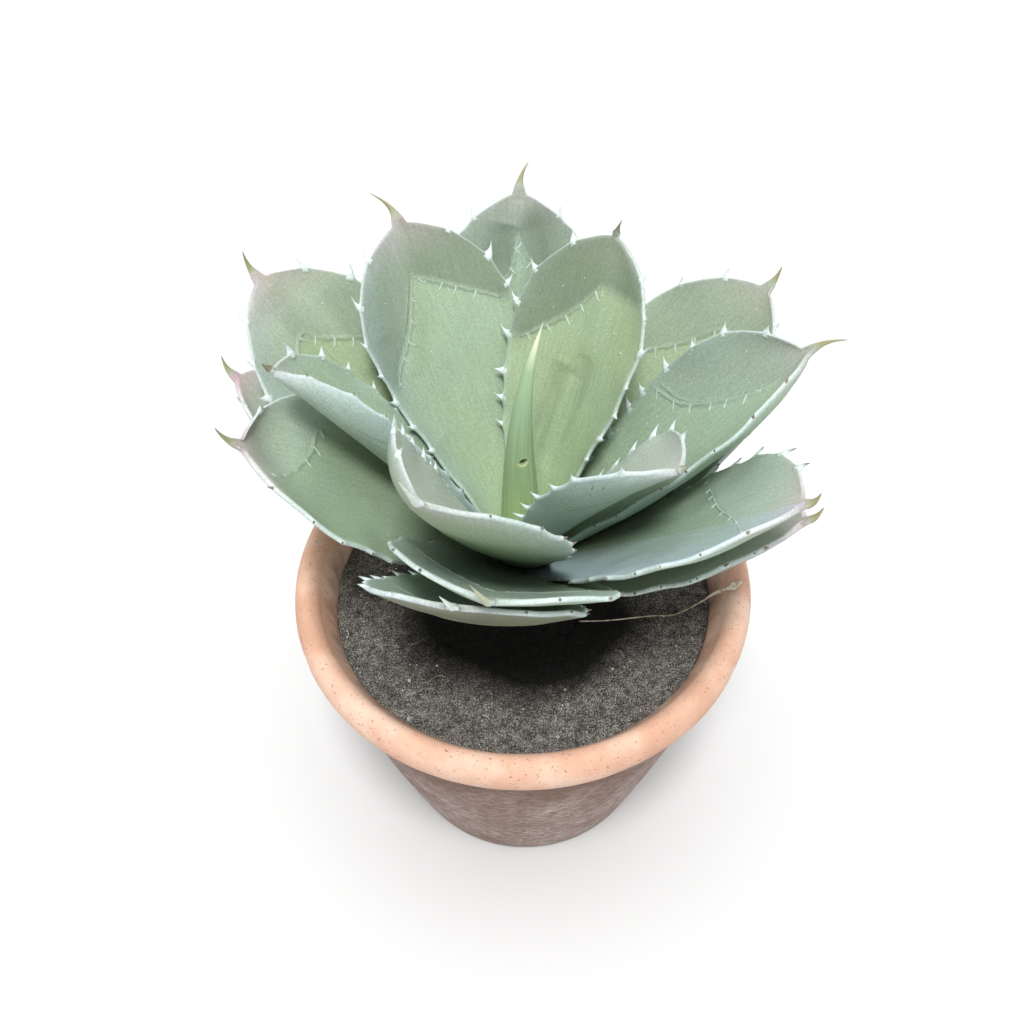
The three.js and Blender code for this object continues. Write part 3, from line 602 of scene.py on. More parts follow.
MARKS = {
    1: dict(press=[], hue=0.4, lilac=0.85, blush=0.2, horn=0.4, spine_pale=0.75, stubs=(-1,), ragged=(1,),
            pale_edge=0.6, deep=(0, 0.42)),
    2: dict(press=[], hue=0.3, lilac=0.8, horn=0.3, thin=0.9, flare=0.8, spine_pale=0.5, pale_edge=0.6,
            painted_light_back=0.28,
            cracks=[[(0.84, 0.62), (0.62, 0.6), (0.4, 0.66), (0.26, 0.72)],
                    [(0.8, 0.585), (0.6, 0.57), (0.42, 0.62)], [(0.87, 0.80), (0.78, 0.77)],
                    [(0.8, 0.82), (0.7, 0.8)], [(0.74, 0.75), (0.66, 0.735)]]),
    3: dict(press=[], hue=0.3, horn=0.3, thin=1.0, flare=0.8, stubs=(-1,), pale_edge=0.6, painted_light_back=0.28,
            cracks=[[(-0.34, 0.745), (-0.44, 0.66), (-0.56, 0.58), (-0.66, 0.5)],
                    [(-0.4, 0.76), (-0.52, 0.68), (-0.64, 0.6)],
                    [(-0.5, 0.765), (-0.64, 0.69), (-0.76, 0.63)],
                    [(-0.31, 0.69), (-0.4, 0.61), (-0.5, 0.54)]]),
    4: dict(press=[[(-0.85, 0.59), (-0.36, 0.70), (0.03, 0.83)]],
            dots=[[(0.05, 0.83), (0.43, 0.715), (0.85, 0.63)]],
            forms=[((-0.42, 0.2), (-0.2, 0.55), 5, -3.0), ((-0.1, 0.2), (0.12, 0.6), 5, -2.8),
                   ((-0.25, 0.2), (-0.02, 0.52), 4.5, 2.2), ((0.1, 0.6), (0.2, 0.95), 6, 1.3)],
            hue=0.72, horn=0.1, blush=0.1, deep=(0.75, 0), thin=0.45, flare=0.9),
    5: dict(press=[[(-0.83, 0.54), (-0.39, 0.68), (-0.14, 0.82)], [(-0.1, 0.83), (0.22, 0.79), (0.89, 0.68)]],
            echo=[[(-0.47, 0.68), (-0.2, 0.82)]],
            forms=[((-0.12, 0.97), (-0.5, 0.55), 7, 1.8), ((-0.8, 0.7), (-0.7, 0.35), 9, -1.6),
                   ((0.45, 0.9), (0.5, 0.6), 12, 0.8)],
            hue=0.5, horn=0.15, blush=0.4, deep=(0.75, 0), wax=(-1, 13, 0.3), flare=4.0),
    6: dict(press=[[(-0.98, 0.55), (-0.62, 0.585), (-0.38, 0.65), (0, 0.82), (0.1, 0.9)]],
            echo=[[(-0.93, 0.575), (-0.6, 0.605), (-0.37, 0.67), (-0.02, 0.84)]],
            hue=0.35, horn=0.3, stubs=(1,), deep=(0.35, 0), scallop=0.4, pale_edge=0.5),
    7: dict(press=[[(-0.7, 0.66), (-0.3, 0.78), (-0.03, 0.807), (0.12, 0.76), (0.48, 0.69), (0.9, 0.6)]],
            forms=[((0.0, 0.95), (0.1, 0.55), 7, -1.9), ((0.35, 0.9), (0.3, 0.6), 8, 1.3),
                   ((0.62, 0.85), (0.6, 0.5), 6, -1.2), ((-0.35, 0.9), (-0.3, 0.6), 8, 1.0)],
            hue=0.75, blush=0.5, horn=0.3, deep=(0.35, 0), wax=(-1, 14, 0.3)),
    8: dict(press=[[(-0.9, 0.55), (-0.4, 0.7), (0, 0.83), (0.5, 0.72)]], hue=0.7, horn=0.4, deep=(0.42, 0),
            scallop=0.5),
    9: dict(press=[[(-0.5, 0.62), (-0.11, 0.78), (-0.03, 0.87)], [(0, 0.87), (0.24, 0.77), (0.6, 0.66)]],
            forms=[((-0.3, 0.7), (-0.2, 0.9), 8, -3.0), ((0.32, 0.72), (0.24, 0.88), 8, -3.2),
                   ((0, 0.6), (0, 0.97), 5, 2.4)],
            hue=0.3, horn=0.3, deep=(0.45, 0), ragged=(-1, 1)),
    10: dict(press=[[(0.62, 0.705), (0.53, 0.735), (0.25, 0.75), (-0.07, 0.81), (-0.43, 0.89),
                     (-0.7, 0.935)]],
             forms=[((0.2, 0.88), (0.3, 0.89), 12, -4.4)], hue=0.5, blush=0.6, stubs=(-1,), pale_edge=1.1),
    11: dict(press=[[(-0.97, 0.53), (-0.45, 0.64), (-0.21, 0.70), (0.04, 0.785), (0.5, 0.87)]],
             hue=0.3, blush=0.45, horn=0.9, stubs=(1,), fine=True, pale_edge=0.8, wax=(1, 34, 1.0)),
    12: dict(hue=0.3, horn=0.9, blush=0.1, spine_pale=0.35, stubs=(-1, 1), pale_edge=1.2),
    14: dict(hue=0.4, blush=0.9, horn=0.7),
    15: dict(hue=0.25, horn=0.5, spine_pale=0.8, stubs=(-1,), ragged=(1,), pale_edge=1.5,
             deep=(0, 0.8), brown_back=0.45),
    16: dict(hue=0.3, horn=0.9, blush=0.6, stubs=(1,), ragged=(1,), pale_edge=1.1,
             deep=(0, 0.6), brown_back=0.35),
}


def blade_width(s):
    """How wide a blade is at a share s of its length, as a share of its full width."""
    low = NECK_SHARE + (1 - NECK_SHARE) * np.sin(np.pi / 2 * np.clip(s / WIDEST_AT, 0, 1)) ** NECK_POWER
    past = np.clip((s - WIDEST_AT) / (SHOULDER_END - WIDEST_AT), 0, 1)
    return np.where(s < WIDEST_AT, low, (1 - past ** SHOULDER_POWER) ** SHOULDER_ROUND)


def blade_axes(leaf, s):
    """The ways along, to the right of and up from a leaf's midrib, at shares of its length."""
    turn_at = np.radians(leaf["turn"] + leaf["sway"] * s)
    climb_at = np.radians(np.interp(s, (0, 1), leaf["climb"]))
    roll_at = np.radians(np.interp(s, (0, 1), leaf["roll"]))[..., None]
    level = np.stack([np.cos(turn_at), np.sin(turn_at), np.zeros_like(turn_at)], -1)
    rise, run = np.sin(climb_at)[..., None], np.cos(climb_at)[..., None]
    along = level * run + np.array([0, 0, 1]) * rise
    up = np.array([0, 0, 1]) * run - level * rise
    right = np.cross(along, up)
    return (along, right * np.cos(roll_at) + up * np.sin(roll_at),
            up * np.cos(roll_at) - right * np.sin(roll_at))


def midrib(leaf, s):
    """Places on a leaf's midrib."""
    middles = (np.arange(MIDRIB_STEPS) + 0.5) / MIDRIB_STEPS
    start = np.radians(leaf["turn"])
    root = [[ROOT_RADIUS * np.cos(start), ROOT_RADIUS * np.sin(start), leaf["seat"]]]
    path = np.vstack([root, blade_axes(leaf, middles)[0] * leaf["length"] / MIDRIB_STEPS]).cumsum(0)
    steps = np.linspace(0, 1, MIDRIB_STEPS + 1)
    return np.stack([np.interp(s, steps, path[:, k]) for k in range(3)], -1)


def thickness(s, v):
    """A blade's thickness: stout at the root and along the midrib, thin at the margin."""
    middle = BLADE_ROOT_THICKNESS + (BLADE_TIP_THICKNESS - BLADE_ROOT_THICKNESS) * np.maximum(s, 0) ** 0.6
    return BLADE_EDGE + (middle - BLADE_EDGE) * (1 - v * v)


def half_width(leaf, s):
    """Half the width of a blade, which narrows to a short flare where it runs out into the spine."""
    blade = leaf["width"] / 2 * blade_width(s) + SPINE_RADIUS * s ** 4
    to_tip = np.minimum((1 - s) * leaf["length"] / FLARE_REACH - 1, 0)
    return np.maximum(blade, leaf["marks"]["thin"] + leaf["marks"]["flare"] * np.exp(to_tip))


def press_share(leaf, s, v):
    """How far a place lies beyond the pressed lines, towards the tip: 0 inside them and 1 well beyond."""
    marks = leaf["marks"]
    if not marks["press"]:
        return np.zeros(np.broadcast(s, v).shape)
    stops = sorted(place for line in marks["press"] for place in line)
    line_at = np.interp(v, [p[0] for p in stops], [p[1] for p in stops])
    beyond = (s - line_at) * leaf["length"]
    return np.clip(0.5 + beyond / PRESS_EDGE, 0, 1)


def swells(leaf, s, v):
    """How far the swells and dents of a blade lift its face. A long one fades out at its two ends."""
    length = leaf["length"]
    flat = np.stack([v * half_width(leaf, s), s * length], -1).reshape(-1, 2)
    lift = np.zeros(np.shape(v))
    for (v0, s0), (v1, s1), wide, high in leaf["marks"]["forms"]:
        start = np.array([v0 * half_width(leaf, np.array(s0)), s0 * length])
        run = np.array([v1 * half_width(leaf, np.array(s1)), s1 * length]) - start
        here = flat - start
        share_along = np.clip(here @ run / max(run @ run, 1e-6), 0, 1)
        away = np.linalg.norm(here - share_along[:, None] * run, axis=1)
        ends = (4 * share_along * (1 - share_along)) ** 0.7 if np.linalg.norm(run) > 4 * wide else 1
        lift += (high * ends * np.exp(-(away / wide) ** 2)).reshape(np.shape(v))
    return lift


def blade_form(leaf, s, v):
    """How far a blade's face stands above its plain shape: ripples, swells, dents and pressed areas."""
    flat = np.stack([v * half_width(leaf, s), s * leaf["length"], np.zeros(np.shape(v))], -1).reshape(-1, 3)
    seed = leaf["number"]
    form = 0.55 * noise(flat, 30, seed) + 0.22 * noise(flat, 12, seed + 40)
    form = form.reshape(np.shape(v)) * np.clip(s * 4, 0, 1)
    return form + swells(leaf, s, v) + 0.35 * press_share(leaf, s, v) * (np.abs(v) < 0.97)


def margin_line(leaf, s, side):
    """How far the margin stands out between its teeth, and how far it waves up and down."""
    scallop = leaf["marks"]["scallop"]
    reach = np.full(np.shape(s), -0.8 * scallop)
    for place, _, _ in leaf["teeth"][side]:
        by_tooth = np.exp(-((s - place) * leaf["length"] / SCALLOP_REACH) ** 2)
        reach = np.maximum(reach, scallop * (1.2 * by_tooth - 0.8))
    wave = 0.5 * np.sin(s * leaf["length"] / MARGIN_WAVE + leaf["number"] + side)
    calm = np.clip((1 - s) * leaf["length"] / 6, 0, 1) * np.clip(s * 5, 0, 1)
    return reach * calm, wave * calm


def blade_points(leaf, s, v, side, rise=0.0, out=0.0):
    """Points on a blade. side is 1 on its upper face and -1 below; rise is above that face, out beyond v."""
    s, v = np.broadcast_arrays(np.asarray(s, float), np.asarray(v, float))
    along, right, up = blade_axes(leaf, s)
    reach_left, wave_left = margin_line(leaf, s, -1)
    reach_right, wave_right = margin_line(leaf, s, 1)
    reach = np.where(v < 0, reach_left, reach_right) * np.abs(v) ** 5
    wave = np.where(v < 0, wave_left, wave_right) * np.abs(v) ** 4
    half = half_width(leaf, s) - 0.5
    curl = np.radians(np.interp(s, (0, 1), leaf["cup"]) + np.where(v < 0, *leaf["fold"]))
    curl = np.maximum(curl, 0.01)
    angle = curl * v
    across = np.sign(v) * (reach + out)
    above = side * (thickness(s, v) / 2 + rise) + wave + blade_form(leaf, s, v) * (1 - v ** 8)
    away = half * np.sin(angle) / curl + across * np.cos(angle) - above * np.sin(angle)
    lift = half * (1 - np.cos(angle)) / curl + across * np.sin(angle) + above * np.cos(angle)
    return midrib(leaf, s) + right * away[..., None] + up * lift[..., None]


def tooth_places(length):
    """Where teeth stand along one margin. They draw together towards the root."""
    places, from_tip = [], FIRST_TOOTH
    while from_tip < TOOTHED_SHARE * length:
        places.append(1 - from_tip / length)
        back = from_tip / length
        from_tip += TOOTH_PITCH_AT_TIP + (TOOTH_PITCH_AT_ROOT - TOOTH_PITCH_AT_TIP) * back
    return places


def tooth(leaf, s, side, size, bend):
    """A flat hook on the margin, with its root sunk in the blade and its point drawn towards the tip."""
    near = np.array([s - 0.01, s, s + 0.01])
    margin = blade_points(leaf, near, np.full(3, float(side)), 1, rise=-BLADE_EDGE / 2, out=-0.2)
    inner = blade_points(leaf, near[1], 0.9 * side, 1, rise=-BLADE_EDGE / 2)
    forward = margin[2] - margin[0]
    forward /= np.linalg.norm(forward)
    outward_from = margin[1] - inner
    outward_from -= forward * (outward_from @ forward)
    outward_from /= np.linalg.norm(outward_from)
    flat_way = np.cross(forward, outward_from)
    steps = np.array([-0.28, -0.08, 0.08, 0.22, 0.36, 0.52, 0.68, 0.84, 0.95])
    turns = np.linspace(0, 2 * np.pi, TOOTH_SIDES, endpoint=False)
    points = []
    for step in steps:
        shrink = np.clip(1 - step, 0, 1.3)
        wide = 0.45 * TOOTH_ROOT * size * shrink ** 1.4 + 0.1
        deep = 0.5 * BLADE_EDGE * min(shrink, 1) ** 0.9 * size ** 0.5 * 0.9 + 0.12
        middle = margin[1] + outward_from * TOOTH_LENGTH * size * step
        middle = middle + forward * TOOTH_LENGTH * size * bend * (0.15 * step + 0.5 * max(step, 0) ** 2)
        points += [middle + forward * wide * np.cos(t) + flat_way * deep * np.sin(t) for t in turns]
    points.append(margin[1] + (outward_from + forward * bend * 0.62) * TOOTH_LENGTH * size)
    last_ring = np.arange(TOOTH_SIDES) + (len(steps) - 1) * TOOTH_SIDES
    faces = grid_faces(len(steps), TOOTH_SIDES).tolist() + fan_faces(last_ring, len(points) - 1).tolist()
    faces.append(list(range(TOOTH_SIDES))[::-1])
    tip_share = np.append(np.repeat(np.clip(steps, 0, 1), TOOTH_SIDES), 1.0)
    if side > 0:
        faces = [face[::-1] for face in faces]
    return np.array(points), faces, tip_share


def smooth_line(places, count):
    """A smooth line of count places through a few given ones."""
    places = np.array(places, float)
    padded = np.vstack([2 * places[0] - places[1], places, 2 * places[-1] - places[-2]])
    knots = np.linspace(0, len(places) - 1, count)
    piece = np.minimum(knots.astype(int), len(places) - 2)
    t = (knots - piece)[:, None]
    p0, p1, p2, p3 = (padded[piece + k] for k in range(4))
    return p1 + 0.5 * t * (p2 - p0 + t * (2 * p0 - 5 * p1 + 4 * p2 - p3 + t * (3 * (p1 - p2) + p3 - p0)))


def bar_faces(rows, columns):
    """The faces of a closed bar: the grid round its sides and one face over each end."""
    end = columns * (rows - 1)
    ends = [list(range(columns))[::-1], list(range(end, end + columns))]
    return grid_faces(rows, columns).tolist() + ends


def welt(leaf, line, widths, heights, side=1):
    """A low rounded ridge along a line of (v, s), with its sides sunk in the skin: points, faces, places."""
    v, s = line.T
    half, length = half_width(leaf, s), leaf["length"]
    ahead = np.stack([np.gradient(v * half), np.gradient(s * length)], 1)
    ahead /= np.linalg.norm(ahead, axis=1)[:, None]
    rows_of, places = [], []
    half_profile = [(1, -0.3), (0.7, 0.25), (0.35, 0.8)]
    profile = [(-offset, rise) for offset, rise in half_profile] + [(0, 1)] + half_profile[::-1]
    for offset, top_share in profile:
        shift = offset * widths / 2
        v_at = np.clip(v - shift * ahead[:, 1] / np.maximum(half, 4), -1, 1)
        s_at = s + shift * ahead[:, 0] / length
        rows_of.append(blade_points(leaf, s_at, v_at, side, rise=top_share * heights))
        places.append(np.stack([v_at, s_at], 1))
    rows_of.append(blade_points(leaf, s, np.clip(v, -1, 1), side, rise=-0.5))
    places.append(line)
    points = np.stack(rows_of, 1).reshape(-1, 3)
    faces = bar_faces(len(v), len(rows_of))
    if side > 0:
        faces = [face[::-1] for face in faces]
    return points, faces, np.stack(places, 1).reshape(-1, 2)


def drawn_to_margins(count):
    """Shares of the half width from -1 to 1 that lie closer together at the margins."""
    even = np.linspace(-1, 1, count)
    return np.sign(even) * (1 - (1 - np.abs(even)) ** 1.45)


def skin_marks(leaf, s, v, face):
    """The marks that the skin's material reads, at places on a blade. face runs from 1 above to -1 below."""
    half, marks, upper = half_width(leaf, s), leaf["marks"], (face > 0) * 1.0
    from_edge = half * (1 - np.abs(v))
    from_line = from_edge + np.abs(face) * BLADE_EDGE / 2
    by_tooth = np.zeros(np.shape(s))
    for side in (-1, 1):
        for place, size, _ in leaf["teeth"][side]:
            near = size * np.exp(-((s - place) * leaf["length"] / 2.4) ** 2) * (v * side > 0)
            by_tooth = np.maximum(by_tooth, near)
    tip_blush = np.clip((s - BLUSH_FROM) / 0.16, 0, 1) ** 1.6
    tip_blush = tip_blush + 0.2 * np.clip((s - 0.7) / 0.3, 0, 1) * np.abs(v) ** 8
    beyond = press_share(leaf, s, v) * upper
    wax_side, wax_reach, wax_thick = marks["wax"]
    wax_above = wax_thick * np.exp(-(from_edge / wax_reach) ** 1.5) * ((v * wax_side > 0) | (wax_side == 0))
    # On the lower face painted light is added to the wax band, by the leaf's own share, and pales the whole
    # face towards the wax colour.
    wax_and_painted_light_below = np.clip(0.42 * np.exp(-from_edge / BACK_WAX_REACH) + marks["painted_light_back"], 0, 1)
    # The deep mark is painted shade: beyond the pressed lines on the upper face, all over the lower face, and
    # deeper in the dents than on the swells.
    painted_shade_above, painted_shade_below = marks["deep"]
    dent_painted_shade = 0.07 * swells(leaf, s, v) * upper
    return dict(
        young=np.clip(1 - s / YOUNG_TO, 0, 1) ** 1.2, under=1 - upper, lilac=upper * marks["lilac"],
        rim=(np.exp(-(from_line / marks["pale_edge"]) ** 2) * np.clip(0.55 + 0.5 * by_tooth, 0, 1)
             * np.clip(s * 6, 0, 1) * np.clip((RIM_ENDS_AT - s) / 0.02, 0, 1)),
        wax_and_painted_light=np.where(upper > 0, wax_above, wax_and_painted_light_below), beyond=beyond,
        blush=np.clip(tip_blush * marks["blush"], 0, 1),
        deep=np.clip(painted_shade_above * beyond + painted_shade_below * (1 - upper) - dent_painted_shade, 0, 0.8),
        horn=(1 - upper) * marks["brown_back"] * np.clip((from_edge - 0.8) / 1.5, 0, 1), olive=0.0 * s,
        hue=marks["hue"] + 0.0 * s, across=v * half, along=s * leaf["length"])


def spine_rings(leaf, last):
    """The rings of the end spine. It grows out of the blade's last ring and turns round as it leaves it."""
    reach, lift, lean_by = leaf["spine"]
    along, right, up = (axis[0] for axis in blade_axes(leaf, np.array([1.0])))
    tip = midrib(leaf, np.array([1.0]))[0]
    turn_of = np.arctan2((last - tip) @ up, (last - tip) @ right)
    rounded = np.outer(np.cos(turn_of), right) + np.outer(np.sin(turn_of), up)
    bend = up * math.tan(math.radians(lift)) + right * math.tan(math.radians(lean_by))
    share_out = (np.arange(1, SPINE_STATIONS + 1) / (SPINE_STATIONS + 1)) ** 1.2
    rings = []
    for share in share_out:
        flare = leaf["marks"]["flare"] * math.exp(-1 - 0.8 * reach * share / FLARE_REACH)
        thin = (leaf["marks"]["thin"] + flare) * (1 - share) ** 0.8 + 0.08
        turned = np.clip(reach * share / 4, 0, 1) ** 0.7
        place = tip + (along * share + bend * share ** 2) * reach
        rings.append(place + rounded * thin * turned + (last - tip) * (1 - turned) * (1 - share))
    return np.vstack(rings), tip + (along + bend) * reach, share_out


def leaf_mesh(leaf):
    """A whole leaf: points, faces and the marks that its material reads."""
    top_v, back_v = drawn_to_margins(ACROSS_TOP), drawn_to_margins(ACROSS_BACK)[::-1]
    edge_turn = np.radians([35, 0, -35])
    v = np.concatenate([top_v, np.ones(3), back_v, -np.ones(3)])
    face = np.concatenate([np.ones(ACROSS_TOP), np.sin(edge_turn), -np.ones(ACROSS_BACK), -np.sin(edge_turn)])
    out = np.concatenate([np.zeros(ACROSS_TOP), 0.75 * np.cos(edge_turn),
                          np.zeros(ACROSS_BACK), 0.75 * np.cos(edge_turn)])
    s = 1 - (1 - np.linspace(0, 1, STATIONS)) ** 1.25
    grid_s, grid_v = np.meshgrid(s, v, indexing="ij")
    grid_face = np.broadcast_to(face, grid_s.shape)
    side = np.where(grid_face >= 0, 1.0, -1.0)
    squeeze = (np.abs(grid_face) - 1) * BLADE_EDGE / 2
    body = blade_points(leaf, grid_s, grid_v, side, rise=squeeze, out=np.broadcast_to(out, grid_s.shape))
    spine, point, share_out = spine_rings(leaf, body[-1])
    columns, rows_all = len(v), STATIONS + SPINE_STATIONS
    points = [body.reshape(-1, 3), spine, [point], midrib(leaf, np.array([0.0]))]
    count = columns * rows_all + 2
    ring_at = np.arange(columns)
    faces = grid_faces(rows_all, columns).tolist()
    faces += fan_faces(ring_at + (rows_all - 1) * columns, count - 2).tolist()
    faces += fan_faces(ring_at[::-1], count - 1).tolist()

    # Horn starts at the flare: pink-lilac, then olive-tan, then dark at the point. Short ends are dark knobs.
    marks = leaf["marks"]
    spine_length, _, _ = leaf["spine"]
    knob = spine_length < KNOB_BELOW
    horn_out = np.append(np.repeat(share_out, columns), [1.0])
    pale = marks["spine_pale"]
    on_spine = dict(young=0, under=0, lilac=0, beyond=0, deep=0, wax_and_painted_light=0, hue=0.4, across=0,
                    along=leaf["length"], rim=pale,
                    blush=np.clip(0.6 - 1.5 * horn_out, 0, 1) * (1 - pale) * min(1, 2 * marks["blush"]),
                    olive=np.clip((horn_out - 0.12) / 0.3, 0, 1) * (1 - pale),
                    horn=np.clip((horn_out - 0.8) / 0.2, 0, 0.6) * (1 - pale) + 0.7 * knob * (1 - pale))
    layers = {}
    for name, value in skin_marks(leaf, grid_s, grid_v, grid_face).items():
        layers[name] = [value.ravel(), np.zeros(len(horn_out)) + on_spine[name], [0.0]]

    def join(part_points, part_faces, values):
        nonlocal count
        points.append(part_points)
        faces.extend([count + k for k in face_of] for face_of in part_faces)
        count += len(part_points)
        for name in layers:
            layers[name].append(np.zeros(len(part_points)) + values.get(name, 0.0))

    def join_ridges(ridges, on_face=1.0, **values):
        for part_points, part_faces, at in ridges:
            here = skin_marks(leaf, at[:, 1], at[:, 0], np.full(len(at), on_face))
            join(part_points, part_faces, {**here, **values})

    for margin_side in (-1, 1):
        stub = margin_side in marks["stubs"]
        for place, size, bend in leaf["teeth"][margin_side]:
            part_points, part_faces, out_share = tooth(leaf, place, margin_side, size, bend)
            horn = np.clip((out_share - (0.0 if stub else 0.45)) / 0.4, 0, 1)
            horn = horn * (0.85 if stub else marks["horn"])
            pale_rim = np.clip(0.7 + out_share, 0, 1)
            join(part_points, part_faces, dict(rim=pale_rim, horn=horn, hue=marks["hue"]))
    taper = np.sin(np.pi * np.linspace(0.03, 0.97, LINE_STEPS)) ** 0.5
    uneven = 1 + 0.25 * np.sin(np.arange(LINE_STEPS) * 0.9 + leaf["number"])
    for lines, high, stroked in ((marks["press"], 0.36, True), (marks["echo"], 0.2, False)):
        # A low broad welt with a narrower pale one on top, each as width, height and paleness.
        welts = ((3.6, high, 0.0), (0.8, high + 0.14, 0.22))
        if marks["fine"]:
            welts = ((1.4, high, 0.0), (0.5, high + 0.1, 0.55))
        for line in lines:
            stops = smooth_line(line, LINE_STEPS)
            for width, height, pale_by in welts:
                join_ridges([welt(leaf, stops, width * taper * uneven, height * taper)], rim=pale_by)
            if stroked:
                join_ridges(pressed_teeth(leaf, stops, 2.2 if marks["fine"] else 4.4), rim=0.45)
    for line in marks["dots"]:
        join_ridges(pressed_teeth(leaf, smooth_line(line, LINE_STEPS), 1.6), rim=0.45)
    for line in marks["cracks"]:
        taper = np.sin(np.pi * np.linspace(0.02, 0.98, CRACK_STEPS)) ** 0.7
        crack = welt(leaf, smooth_line(line, CRACK_STEPS), 0.45 * taper + 0.05, 0.12 * taper, side=-1)
        join_ridges([crack], on_face=-1.0, horn=0.55)
    return np.vstack(points), faces, {name: np.concatenate(parts) for name, parts in layers.items()}


def pressed_teeth(leaf, stops, usual_length):
    """Short curved strokes off a pressed line, where the teeth of the other leaf lay."""
    v, s = stops.T
    half, length = half_width(leaf, s), leaf["length"]
    far = np.concatenate([[0], np.hypot(np.diff(v * half), np.diff(s * length)).cumsum()])
    strokes = []
    places = np.arange(4, far[-1] - 2, STROKE_PITCH)
    for at in places + chance.uniform(-1.5, 1.5, len(places)):
        v0, s0 = np.interp(at, far, v), np.interp(at, far, s)
        sideways = 1.0 if v0 < 0 else -1.0
        t = np.linspace(0, 1, 9)
        long = usual_length * chance.uniform(0.8, 1.2)
        mm_across = sideways * (0.25 * t + 0.45 * t ** 2) * long
        mm_down = (-1.0 * t + 0.25 * t ** 2) * long
        line = np.stack([v0 + mm_across / half_width(leaf, np.array(s0)), s0 + mm_down / length], 1)
        strokes.append(welt(leaf, line, 1.5 * (1 - t) ** 0.6 + 0.25, 0.55 * (1 - 0.6 * t)))
    return strokes


# Living agave skin: a tough cuticle under a glaucous bloom of wax, so it is dull and blue-grey, greener
# where the wax is thin and yellow-green at the clasping base. The horny margin and teeth are bone white.
LEAF_BLUE = "#94aa9c"
LEAF_GREEN = "#9dae84"
LEAF_YOUNG = "#9bb086"
LEAF_WAX = "#b9c6c1"
LEAF_LILAC = "#b9c2b8"
LEAF_UNDER = "#93a985"
# The next colour is painted shade, a dark green.
LEAF_PAINTED_SHADE = "#5f6f56"
# The next colour is the wax on the margins, and also the painted light on some lower faces.
WAX_AND_PAINTED_LIGHT = "#b0c2c8"
HORN_WHITE = "#cbd7d9"
HORN_OLIVE = "#8d8a66"
HORN_BROWN = "#6b5f45"
HORN_DARK = "#3d342b"
PINK_BLUSH = "#b99ca4"
skin = new_material("waxed_agave_skin")
mark = {name: add_node(skin, "Attribute", attribute_name=name).outputs["Fac"]
        for name in ("young", "rim", "wax_and_painted_light", "beyond", "blush", "lilac", "under", "deep", "horn", "olive",
                     "hue", "across", "along")}
skin_place = add_node(skin, "TexCoord").outputs["Object"]
# Streaks run along the leaf, 1.1 mm wide and 18 mm long, by places in millimetres across it and along it.
# Its patches of more or less green are 26 mm across.
lengthwise = add_node(skin, "CombineXYZ", {"X": mark["across"], "Y": mark["along"]})
streak_place = add_node(skin, "Mapping", {"Vector": lengthwise, "Scale": (1, 0.06, 1)})
streaks = add_node(skin, "TexNoise", {"Vector": streak_place, "Scale": 0.9, "Detail": 3})
patches = add_node(skin, "TexNoise", {"Vector": skin_place, "Scale": 38, "Detail": 4})
# The wax lies in grains of about half a millimetre, drawn at twice that so that they still show.
powder = add_node(skin, "TexNoise", {"Vector": skin_place, "Scale": 1000, "Detail": 2, "Roughness": 0.7})
# Here and there a fleck of thicker wax, 0.6 mm wide and about 6 mm from the next.
dots = add_node(skin, "TexVoronoi", {"Vector": skin_place, "Scale": 165, "Randomness": 1})
patch_share = add_node(skin, "MapRange", {
    "Value": patches, "From Min": 0.3, "From Max": 0.7, "To Min": -0.12, "To Max": 0.12})
hue_share = add_node(skin, "Math", {0: mark["hue"], 1: patch_share}, operation="ADD", use_clamp=True)
ground = add_node(skin, "MixRGB", {
    "Fac": hue_share, "Color1": linear(LEAF_BLUE), "Color2": linear(LEAF_GREEN)})
ground = add_node(skin, "MixRGB", {
    "Fac": mark["young"], "Color1": ground, "Color2": linear(LEAF_YOUNG)})
# The deep mark mixes in painted shade. The wax mark mixes in wax, and on some lower faces painted light.
for name, share_of, colour in (("beyond", 0.35, LEAF_WAX), ("lilac", 1.0, LEAF_LILAC),
                               ("under", 0.75, LEAF_UNDER), ("deep", 1.0, LEAF_PAINTED_SHADE),
                               ("wax_and_painted_light", 1.0, WAX_AND_PAINTED_LIGHT), ("blush", 1.0, PINK_BLUSH)):
    part_share = add_node(skin, "Math", {0: mark[name], 1: share_of}, operation="MULTIPLY")
    ground = add_node(skin, "MixRGB", {"Fac": part_share, "Color1": ground, "Color2": linear(colour)})
for pattern, darkest in ((powder, 0.78), (streaks, 0.9)):
    tone = add_node(skin, "ValToRGB", {"Fac": pattern}, ramp=[(0.33, darkest), (0.67, 1.0)])
    ground = add_node(skin, "MixRGB", {"Fac": 1.0, "Color1": ground, "Color2": tone}, blend_type="MULTIPLY")
fleck_share = add_node(skin, "ValToRGB", {"Fac": dots}, ramp=[(0.04, 0.55), (0.07, 0)])
rim_patch = add_node(skin, "MapRange", {
    "Value": powder, "From Min": 0.3, "From Max": 0.6, "To Min": 0.55, "To Max": 1})
rim_share = add_node(skin, "Math", {0: mark["rim"], 1: rim_patch}, operation="MULTIPLY")
for part_share, colour in ((fleck_share, HORN_WHITE), (rim_share, HORN_WHITE), (mark["olive"], HORN_OLIVE)):
    ground = add_node(skin, "MixRGB", {"Fac": part_share, "Color1": ground, "Color2": linear(colour)})
horn_tone = add_node(skin, "ValToRGB", {"Fac": patches}, ramp=[(0.35, HORN_DARK), (0.6, HORN_BROWN)])
skin_colour = add_node(skin, "MixRGB", {"Fac": mark["horn"], "Color1": ground, "Color2": horn_tone})
skin_bump = add_node(skin, "Bump", {"Height": powder, "Distance": 0.12 * MM, "Strength": 0.5})
skin_bump = add_node(skin, "Bump", {
    "Height": streaks, "Distance": 0.3 * MM, "Strength": 0.35, "Normal": skin_bump})
skin_rough = add_node(skin, "MapRange", {"Value": patches, "To Min": 0.5, "To Max": 0.68})
finish_surface(skin, skin_colour, skin_rough, skin_bump, IOR=1.45, Specular_IOR_Level=0.4)

